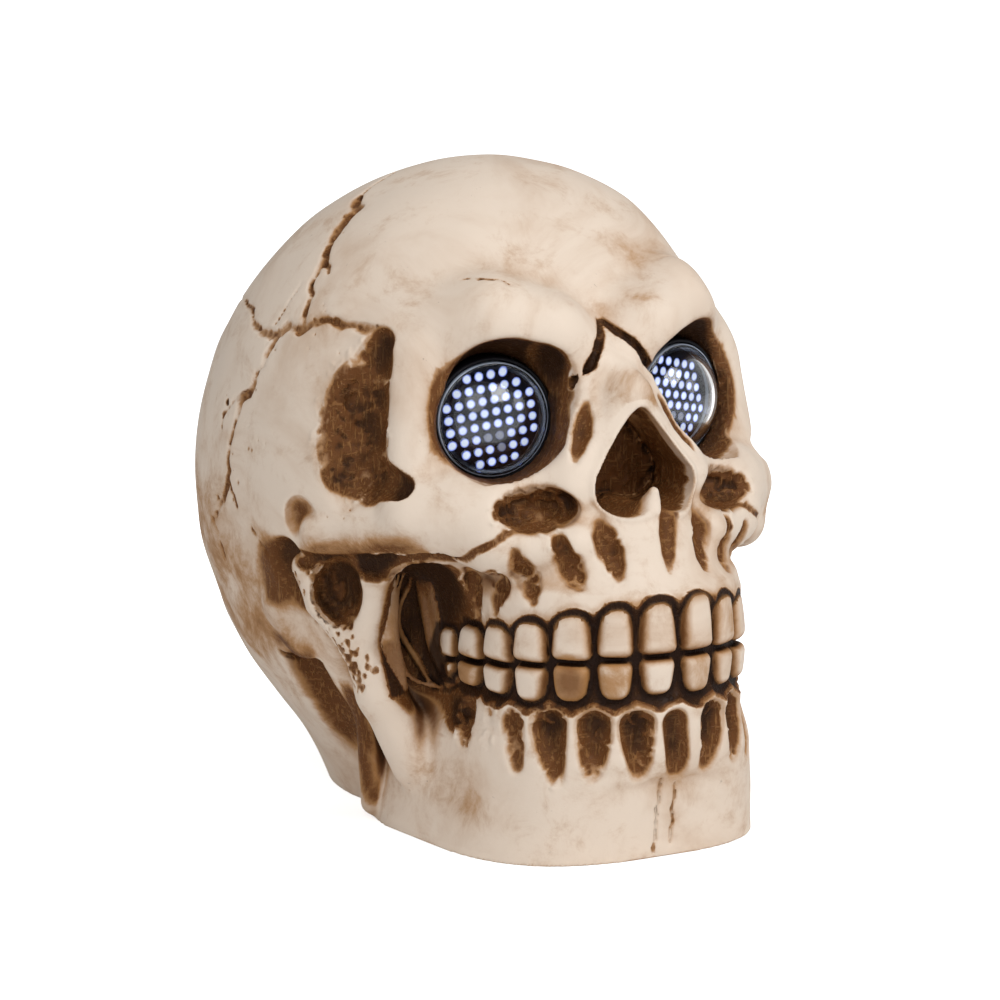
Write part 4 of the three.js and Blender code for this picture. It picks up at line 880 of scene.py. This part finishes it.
def borders(points, crowns):
    """0 on the middle of a crown, 1 at its outline and up to 2 beyond it."""
    total = np.full(len(points), 2.0, np.float32)
    for spot, across, half_w, half_h, sign in crowns:
        u = np.abs((points - spot) @ across) / half_w
        v = (points[:, 2] - spot[2]) * sign / half_h
        u = u / crown_width(v)
        near = np.linalg.norm(points - spot, axis=1) < 9
        total = np.where(near, np.minimum(total, np.maximum(u, np.abs(v))), total)
    return total


def stains(points, stained):
    """How brown the points are on the brown teeth."""
    total = np.zeros(len(points), np.float32)
    for spot, amount in stained:
        away = np.linalg.norm((points - spot) * (1, 1, 0.8), axis=1)
        total = np.maximum(total, amount * np.clip(1.5 - away / 3.6, 0, 1))
    return total


def finish_piece(obj, body, material, replaced=()):
    obj.data.materials.clear()
    obj.data.materials.append(material)
    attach(obj, body)
    if replaced:
        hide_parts(*replaced)


def link_object(name, data):
    obj = bpy.data.objects.new(name, data)
    bpy.context.scene.collection.objects.link(obj)
    return obj


def mesh_object(name, work):
    """An object from a bmesh, which is used up."""
    mesh = bpy.data.meshes.new(name)
    work.to_mesh(mesh)
    work.free()
    return link_object(name, mesh)


# Materials

class Graph:
    """Short words for building a node tree."""

    def __init__(self, tree):
        self.tree = tree

    def node(self, kind, inputs=None, **settings):
        made = self.tree.nodes.new(kind)
        for key, value in settings.items():
            setattr(made, key, value)
        self.fill(made, inputs or {})
        return made

    def fill(self, node, inputs):
        for key, value in inputs.items():
            if isinstance(value, bpy.types.NodeSocket):
                self.tree.links.new(value, node.inputs[key])
            else:
                node.inputs[key].default_value = value

    def math(self, operation, a, b):
        return self.node("ShaderNodeMath", {0: a, 1: b}, operation=operation).outputs[0]

    def plus(self, a, b):
        return self.math("ADD", a, b)

    def times(self, product, *others):
        for other in others:
            product = self.math("MULTIPLY", product, other)
        return product

    def range(self, value, low, high, to_low=0.0, to_high=1.0, smooth=True):
        inputs = dict(enumerate((value, low, high, to_low, to_high)))
        kind = "SMOOTHSTEP" if smooth else "LINEAR"
        return self.node("ShaderNodeMapRange", inputs, interpolation_type=kind, clamp=True).outputs[0]

    def mix(self, factor, a, b):
        return self.node("ShaderNodeMix", {0: factor, 6: a, 7: b}, data_type="RGBA", clamp_factor=True).outputs[2]

    def noise(self, place, scale, detail=3.0, roughness=0.55, distortion=0.0):
        made = self.node("ShaderNodeTexNoise", {"Vector": place, "Scale": scale, "Detail": detail,
                                                "Roughness": roughness, "Distortion": distortion})
        return made.outputs["Fac"]

    def streaks(self, place, scale, turn):
        """Short fine streaks in one direction."""
        stretched = self.node("ShaderNodeMapping", {"Vector": place, "Scale": scale, "Rotation": turn}).outputs[0]
        return self.range(self.noise(stretched, 1.0, 2.0, 0.6), 0.52, 0.66)

    def bump(self, strength, distance, height):
        inputs = {"Strength": strength, "Distance": distance, "Height": height}
        return self.node("ShaderNodeBump", inputs).outputs[0]

    def attribute(self, name):
        return self.node("ShaderNodeAttribute", attribute_name=name).outputs["Fac"]

    def objects(self):
        return self.node("ShaderNodeTexCoord").outputs["Object"]

    def seen(self):
        """1 for what the camera sees straight or through a lens."""
        path = self.node("ShaderNodeLightPath").outputs
        return self.math("MAXIMUM", path["Is Camera Ray"], path["Is Transmission Ray"])


def new_material(name):
    material = bpy.data.materials.new(name)
    material.use_nodes = True
    return material, Graph(material.node_tree), material.node_tree.nodes["Principled BSDF"]


def plain_finish(name, colour, roughness, metallic=0.0, gloss=0.5):
    """Moulded or metal finish with fine grain and slight changes of tone."""
    material, g, shader = new_material(name)
    place = g.objects()
    darker = (*(c * 0.72 for c in colour), 1)
    g.fill(shader, {
        "Base Color": g.mix(g.range(g.noise(place, 140.0, 4.0), 0.35, 0.7), (*colour, 1), darker),
        "Metallic": metallic,
        "Specular IOR Level": gloss,
        "Roughness": g.range(g.noise(place, 320.0), 0.3, 0.7, roughness - 0.06, roughness + 0.06),
        "Normal": g.bump(0.4, 0.00004, g.noise(place, 900.0, 2.0)),
    })
    return material


def aged_bone(colours):
    """Ivory paint with a brown wash that stays in the hollows and is wiped off the raised places; deep hollows and
    crevices are darkened further as painted shade.
    """
    material, g, shader = new_material("aged bone")
    tan, umber, black_brown = colours.tan, colours.umber, colours.black_brown
    place = g.objects()
    wash, tooth, edge, spots = (g.attribute(name) for name in ("wash", "tooth", "edge", "stain"))
    bare = g.math("SUBTRACT", 1.0, tooth)
    mottle = g.noise(place, 27.0, 5.0, 0.62, 0.9)
    cloud = g.noise(place, 90.0, 6.0, 0.72, 0.4)
    speck = g.noise(place, 520.0, 3.0, 0.75)
    fleck = g.noise(place, 120.0, 2.0, 0.6)
    upright = g.streaks(place, (1500, 1500, 170), (0.2, 0.15, 0.0))
    slanting = g.streaks(place, (190, 1300, 1300), (0.3, 0.6, 0.5))
    fibre = g.math("MAXIMUM", upright, g.times(slanting, 0.7))
    uneven = g.math("SUBTRACT", cloud, 0.5)
    # depth darkens where the skin is enclosed: brown wash that settles there, and painted shade.
    depth = g.times(g.attribute("hollow"), g.range(tooth, 0.0, 1.0, 1.0, 0.8))
    depth = g.plus(depth, g.times(uneven, 0.45))
    halo = g.times(g.attribute("halo"), bare, g.range(edge, 0.1, 0.7, 1.0, 0.0))
    halo = g.plus(halo, g.times(uneven, 0.8))
    ragged = g.plus(wash, g.times(uneven, g.range(wash, 0.0, 0.6, 0.0, 1.5)))
    ragged = g.times(ragged, bare, g.range(edge, 0.25, 1.0, 1.0, 0.2))
    border = g.plus(g.attribute("border"), g.times(uneven, 0.35))
    brown = g.plus(spots, g.times(uneven, g.range(spots, 0.0, 0.3)))
    gum = g.times(g.range(border, 1.15, 1.5, 0.9, 0.0), bare)
    specks = g.range(speck, 0.66, 0.74)
    colour = colours.ivory
    # Layers: what drives them, where they start and are full, how full, where alone they lie, and the paint
    for driver, low, high, most, mask, paint in (
        (mottle, 0.43, 0.82, 0.48, None, tan),
        (cloud, 0.5, 0.8, 0.4, None, tan),
        (halo, 0.0, 0.8, 0.85, None, tan),
        # depth layers: brown wash in the hollows, deepening into painted shade.
        (depth, 0.1, 0.45, 0.75, None, tan),
        (depth, 0.34, 0.7, 0.95, None, umber),
        # ragged layers: the wash grid, with the painted shade laid under the cheek arch and beside the jaw branch.
        (ragged, 0.2, 0.5, 0.85, None, tan),
        (ragged, 0.35, 0.85, 0.98, None, umber),
        (ragged, 0.4, 0.9, 0.42, fibre, tan),
        (ragged, 1.1, 2.6, 0.85, None, black_brown),
        (depth, 0.6, 1.0, 0.7, None, black_brown),
        (wash, 0.7, 1.6, 1.0, gum, black_brown),
        (border, 0.55, 0.95, 0.75, tooth, tan),
        (border, 0.8, 1.05, 0.95, tooth, umber),
        (brown, 0.05, 0.5, 0.9, tooth, tan),
        (brown, 0.35, 1.1, 0.75, tooth, umber),
        (fleck, 0.54, 0.7, 0.6, specks, umber),
        # Painted shade, with the wash, in narrow crevices.
        (g.attribute("crevice_wash_and_shade"), 0.36, 0.8, 0.95, None, black_brown),
    ):
        share = g.range(driver, low, high, 0.0, most)
        colour = g.mix(g.times(share, mask) if mask else share, colour, paint)
    g.fill(shader, {
        "Base Color": colour,
        "Roughness": g.range(cloud, 0.3, 0.7, 0.42, 0.58),
        "Specular IOR Level": 0.14,
        "Normal": g.bump(0.6, 0.0004, g.plus(g.times(speck, 0.3), g.times(fibre, g.range(ragged, 0.4, 0.9)))),
    })
    return material


def clear_acrylic():
    material, g, shader = new_material("clear acrylic")
    smear = g.noise(g.objects(), 240.0, 3.0)
    g.fill(shader, {"Base Color": (0.97, 0.985, 1.0, 1), "Transmission Weight": 1.0, "IOR": 1.49,
                    "Roughness": g.range(smear, 0.3, 0.8, 0.0, 0.003)})
    return material


def lit_dots(colours):
    material, g, shader = new_material("lit dots")
    lit = g.mix(g.range(g.attribute("core"), 0.1, 0.9), colours.glow, (0.8, 0.88, 1.0, 1))
    g.fill(shader, {"Base Color": (0.08, 0.09, 0.12, 1), "Emission Strength": 1.0,
                    "Emission Color": g.mix(g.attribute("level"), (0.03, 0.03, 0.05, 1), lit)})
    return material


# Eyes

def eye_matrix(side):
    """Eye frame: local Y points out of the face along the eye's axis, origin on the dot plate."""
    out = Vector((side * EYE_SIN, -EYE_COS, 0))
    up = Vector((0, 0, 1))
    across = out.cross(up)
    pose = Matrix((across, out, up)).transposed().to_4x4()
    pose.translation = Vector((side * EYE_SPACING / 2, EYE_Y + CENTRE_SHIFT_Y, EYE_Z)) * MM
    return pose


def spun(name, profile, steps, pose, closed=False):
    """A profile of (radius, height) in millimetres turned round the local Y axis."""
    work = bmesh.new()
    points = [work.verts.new((r * MM, h * MM, 0)) for r, h in profile]
    pairs = list(zip(points, points[1:]))
    if closed:
        pairs.append((points[-1], points[0]))
    edges = [work.edges.new(p) for p in pairs]
    bmesh.ops.spin(work, geom=points + edges, cent=(0, 0, 0), axis=(0, 1, 0), angle=2 * pi,
                   steps=steps, use_merge=True)
    bmesh.ops.remove_doubles(work, verts=work.verts, dist=1e-6)
    bmesh.ops.recalc_face_normals(work, faces=work.faces)
    bmesh.ops.transform(work, matrix=pose, verts=work.verts)
    for face in work.faces:
        face.smooth = True
    return mesh_object(name, work)


def lens_profile():
    """Hollow dome with a flat rim, from the outer top round the rim to the inner top."""
    top = FIT_GAP + LENS_RIM_THICKNESS
    profile = []
    for radius, base, height, order in ((LENS_RADIUS - LENS_RIM, top, LENS_DOME, 1),
                                        (LENS_RADIUS - LENS_RIM - LENS_WALL, FIT_GAP, LENS_DOME + 0.2, -1)):
        sphere = (radius ** 2 + height ** 2) / (2 * height)
        half = asin(min(1.0, radius / sphere))
        turns = [half * n / LENS_ARC_STEPS for n in range(LENS_ARC_STEPS + 1)]
        arc = [(sphere * sin(turn), base + height - sphere + sphere * cos(turn)) for turn in turns]
        profile += arc[::order]
        if order > 0:
            profile += [(LENS_RADIUS - 0.3, top), (LENS_RADIUS - 0.1, top - 0.08), (LENS_RADIUS, top - 0.3),
                        (LENS_RADIUS, FIT_GAP + 0.15), (LENS_RADIUS - 0.15, FIT_GAP)]
    return profile


def rim_highlight(lens, pose, finish):
    """Painted highlight: the rim of the dome gets an opaque light blue-grey finish that stands for the bright ring
    of light along its edge.
    """
    lens.data.materials.append(finish)
    back = pose.inverted()
    for face in lens.data.polygons:
        spot = back @ face.center
        if hypot(spot.x, spot.z) > (LENS_RADIUS - 0.36) * MM:
            face.material_index = 1


def cup_profile():
    """Stepped cup, from its back round the seats of lens, plate and diffuser to its floor."""
    seat, plate, diffuser, board = LENS_RADIUS + FIT_GAP, 11.8, 10.7, 9.6
    front = FIT_GAP + LENS_RIM_THICKNESS - 0.5
    return [(2, -13.4), (CUP_RADIUS, -13.4), (CUP_RADIUS, front - 0.25), (CUP_RADIUS - 0.25, front),
            (seat + 0.15, front), (seat, front - 0.15), (seat, 0), (plate, 0), (plate, -1.3), (diffuser, -1.3),
            (diffuser, -3.4), (board, -3.4), (board, -11.4), (2, -11.4)]


def dot_places(turn_deg, row_shift):
    """Lattice of dots on the plate, in millimetres across and up."""
    turn = radians(turn_deg)
    reach = PLATE_RADIUS - DOT_RADIUS - DOT_EDGE
    row_pitch = DOT_PITCH * sqrt(1 - row_shift ** 2)
    count = ceil(reach / row_pitch) + 1
    places = []
    for row in range(-count, count):
        for n in range(-count, count):
            v = (row + 0.5) * row_pitch
            u = (n + 0.5 + row_shift * (row % 2 - 0.5)) * DOT_PITCH
            if hypot(u, v) <= reach:
                places.append((u * cos(turn) - v * sin(turn), u * sin(turn) + v * cos(turn)))
    return places


def beads(name, pose, places, seed):
    """Glowing discs just over the dot plate; a few low ones are nearly out."""
    work = bmesh.new()
    core = work.verts.layers.float.new("core")
    level = work.verts.layers.float.new("level")
    dice = np.random.default_rng(seed)
    for across, up in places:
        spot = Matrix.Translation((-across * MM, 0.00006, up * MM)) @ Matrix.Rotation(-pi / 2, 4, "X")
        disc = bmesh.ops.create_circle(work, cap_ends=True, segments=14, radius=GLOW_RADIUS * MM, matrix=spot)
        faces = list({f for v in disc["verts"] for f in v.link_faces})
        bmesh.ops.inset_individual(work, faces=faces, thickness=GLOW_FADE * MM)
        inner = {v for f in faces for v in f.verts}
        dim = abs(across - 1.5) < 3 and -6.5 < up < -3
        bright = 0.15 if dim else dice.uniform(0.75, 1.0)
        for v in set(disc["verts"]) | inner:
            v[core] = 1.0 if v in inner else 0.0
            v[level] = bright
    bmesh.ops.transform(work, matrix=pose, verts=work.verts)
    return mesh_object(name, work)


class SKULL_OT_bone(bpy.types.Operator):
    """Carves the bone casting with its teeth and details"""

    bl_idname = "skull.bone"
    bl_label = "Bone casting"

    def execute(self, context):
        sizes, colours = context.scene.skull_sizes, context.scene.skull_colours
        grid = carve_bone(sizes)
        bare, stained, crowns = add_teeth(grid)
        add_cracks(grid, sizes)
        grid.d += (sizes.surface_lumps / MM) * smooth_noise(grid, LUMP_SIZE, LUMP_SEED)
        grid.d = np.maximum(grid.d, -grid.axes[2][None, None, :])
        for eye in EYES:
            bore(grid, eye[1])
        pocket(grid)
        mesh = skin(grid, TRIANGLES)
        points = np.empty(len(mesh.vertices) * 3, np.float32)
        mesh.vertices.foreach_get("co", points)
        points = points.reshape(-1, 3)
        upper = points[:, 2] > 0.5
        points[upper] = grid.settle(points[upper], 1)
        normals = grid.normals(points)
        halo = blurred(np.minimum(grid.wash, HALO_MOST), max(1, int(HALO_REACH / grid.step)))
        attributes = {
            "halo": grid.sample(points, halo) * upper,
            # hollow and crevice measure how enclosed each point is; the bone colour darkens by them as wash and
            # painted shade.
            "hollow": hollows(grid, points, normals, (3.0, 6.0, 10.0)),
            "crevice_wash_and_shade": hollows(grid, points, normals, (0.8, 1.6)),
            "wash": grid.sample(points + normals * 0.3, grid.wash) * upper,
            "edge": convex(grid, points, normals),
            "stain": stains(points, stained),
            "border": borders(points, crowns),
            "tooth": np.clip((grid.sample(points, bare) - 0.2) / 0.5, 0, 1),
        }
        for name, values in attributes.items():
            layer = mesh.attributes.new(name, "FLOAT", "POINT")
            layer.data.foreach_set("value", np.ascontiguousarray(values, np.float32))
        mesh.vertices.foreach_set("co", ((points + (0, CENTRE_SHIFT_Y, 0)) * MM).astype(np.float32).ravel())
        mesh.update()
        obj = link_object("bone_casting", mesh)
        finish_piece(obj, "skull", aged_bone(colours), ["skull_casting"])
        return {"FINISHED"}


class SKULL_OT_eyes(bpy.types.Operator):
    """Makes the eye lenses, their seats and the lit dots"""

    bl_idname = "skull.eyes"
    bl_label = "Lit eyes"

    def execute(self, context):
        glass, black = clear_acrylic(), plain_finish("black plastic", (0.008, 0.008, 0.011), 0.5, gloss=0.2)
        glow = lit_dots(context.scene.skull_colours)
        # The lens rim finish is a painted highlight: light blue-grey in place of the bright ring of light on the
        # rim.
        edge = plain_finish("lens rim painted highlight", (0.5, 0.57, 0.7), 0.2)
        for name, side, turn, shift, seed in EYES:
            pose = eye_matrix(side)
            lens = spun("eye_dome_" + name, lens_profile(), 72, pose)
            finish_piece(lens, "skull", glass, ["eye_lens_" + name])
            rim_highlight(lens, pose, edge)
            cup = spun("eye_seat_" + name, cup_profile(), 64, pose, closed=True)
            finish_piece(cup, "skull", black, ["eye_cup_" + name])
            dots = beads("lit_dots_" + name, pose, dot_places(turn, shift), seed)
            finish_piece(dots, "skull", glow)
        return {"FINISHED"}


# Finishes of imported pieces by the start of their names: (name, colour, roughness, metallic, gloss)
FINISHES = {
    ("battery_", "switch_slider"): ("moulded black plastic", (0.014, 0.014, 0.016), 0.48),
    "dot_plate": ("matt black plate", (0.004, 0.006, 0.014), 0.75, 0.0, 0.1),
    "eye_diffuser": ("milky diffuser", (0.8, 0.86, 0.95), 0.5),
    "eye_board": ("green laminate", (0.02, 0.14, 0.06), 0.45),
    "eye_led": ("diode epoxy", (0.85, 0.88, 0.95), 0.2),
    "eye_lead": ("red vinyl lead", (0.3, 0.012, 0.01), 0.5),
    "button_cell": ("cell steel", (0.62, 0.63, 0.64), 0.28, 1.0),
    "cell_": ("plated contact", (0.72, 0.58, 0.3), 0.3, 1.0),
    "switch_body": ("switch shell", (0.5, 0.51, 0.52), 0.35, 1.0),
}


class SKULL_OT_battery_unit(bpy.types.Operator):
    """Gives the pieces inside and under the skull their finishes"""

    bl_idname = "skull.battery_unit"
    bl_label = "Battery unit"

    def execute(self, context):
        for start, finish in FINISHES.items():
            pieces = [obj for name, obj in frame["nodes"].items() if name.startswith(start)]
            if not pieces:
                raise RuntimeError(f"no packed piece has a name that starts with {start}")
            material = plain_finish(*finish)
            for obj in pieces:
                obj.data.materials.clear()
                obj.data.materials.append(material)
        return {"FINISHED"}


# Stage

def aim(obj, target, turn_deg, raise_deg, distance):
    """Puts a lamp or camera at a distance from its target, looking at it."""
    turn, rise = radians(turn_deg), radians(raise_deg)
    back = Vector((sin(turn) * cos(rise), -cos(turn) * cos(rise), sin(rise)))
    obj.location = Vector(target) + back * distance
    obj.rotation_mode = "QUATERNION"
    obj.rotation_quaternion = (-back).to_track_quat("-Z", "Y")


def add_floor():
    work = bmesh.new()
    bmesh.ops.create_grid(work, x_segments=2, y_segments=2, size=6.0)
    obj = mesh_object("floor", work)
    material, g, shader = new_material("white floor")
    place = g.objects()
    away = g.node("ShaderNodeVectorMath", {0: place}, operation="LENGTH").outputs["Value"]
    lift = g.times(g.seen(), g.range(away, 0.05, 0.2, 0.7, 1.0))
    g.fill(shader, {
        "Base Color": g.mix(g.noise(place, 3.0, 2.0), (0.94, 0.94, 0.94, 1), (0.96, 0.96, 0.96, 1)),
        "Roughness": 0.9,
        "Specular IOR Level": 0.1,
        "Emission Color": g.mix(lift, (0, 0, 0, 1), (1, 1, 1, 1)),
        "Emission Strength": 1.0,
    })
    obj.data.materials.append(material)


def add_world(scene):
    world = bpy.data.worlds.new("studio")
    scene.world = world
    world.use_nodes = True
    g = Graph(world.node_tree)
    strength = g.range(g.seen(), 0.0, 1.0, 0.36, 1.0, smooth=False)
    g.fill(world.node_tree.nodes["Background"], {"Color": (1, 1, 1, 1), "Strength": strength})


class SKULL_OT_stage(bpy.types.Operator):
    """Sets the floor, the lamps and the camera"""

    bl_idname = "skull.stage"
    bl_label = "Stage"

    def execute(self, context):
        scene = context.scene
        scene.view_settings.view_transform = "Standard"
        add_floor()
        add_world(scene)
        for name, turn_deg, raise_deg, distance, size, power in LAMPS:
            light = bpy.data.lights.new(name, "AREA")
            light.shape = "DISK"
            light.size = size
            light.energy = power
            aim(link_object(name, light), LAMP_TARGET, turn_deg, raise_deg, distance)
        camera = link_object("camera", bpy.data.cameras.new("camera"))
        aim(camera, VIEW_TARGET, VIEW_TURN_DEG, VIEW_RAISE_DEG, VIEW_DISTANCE)
        camera.data.sensor_width = 36
        camera.data.lens = VIEW_LENS
        camera.data.clip_end = 20
        scene.camera = camera
        return {"FINISHED"}


OPERATORS = (SKULL_OT_bone, SKULL_OT_eyes, SKULL_OT_battery_unit, SKULL_OT_stage)


class SKULL_PT_panel(bpy.types.Panel):
    """Lists the pieces of the ornament"""

    bl_label = "Skull ornament"
    bl_idname = "SKULL_PT_panel"
    bl_space_type = "VIEW_3D"
    bl_region_type = "UI"
    bl_category = "Skull"

    def draw(self, context):
        for operator in OPERATORS:
            self.layout.operator(operator.bl_idname)
        for group in (context.scene.skull_sizes, context.scene.skull_colours):
            for name in group.__annotations__:
                self.layout.prop(group, name)


CLASSES = (SkullSizes, SkullColours, *OPERATORS, SKULL_PT_panel)


def register():
    for cls in CLASSES:
        bpy.utils.register_class(cls)
    bpy.types.Scene.skull_sizes = PointerProperty(type=SkullSizes)
    bpy.types.Scene.skull_colours = PointerProperty(type=SkullColours)


def unregister():
    del bpy.types.Scene.skull_colours
    del bpy.types.Scene.skull_sizes
    for cls in reversed(CLASSES):
        bpy.utils.unregister_class(cls)


def main():
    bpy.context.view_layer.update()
    register()
    bpy.ops.skull.bone()
    bpy.ops.skull.eyes()
    bpy.ops.skull.battery_unit()
    bpy.ops.skull.stage()


if __name__ == "__main__":
    main()
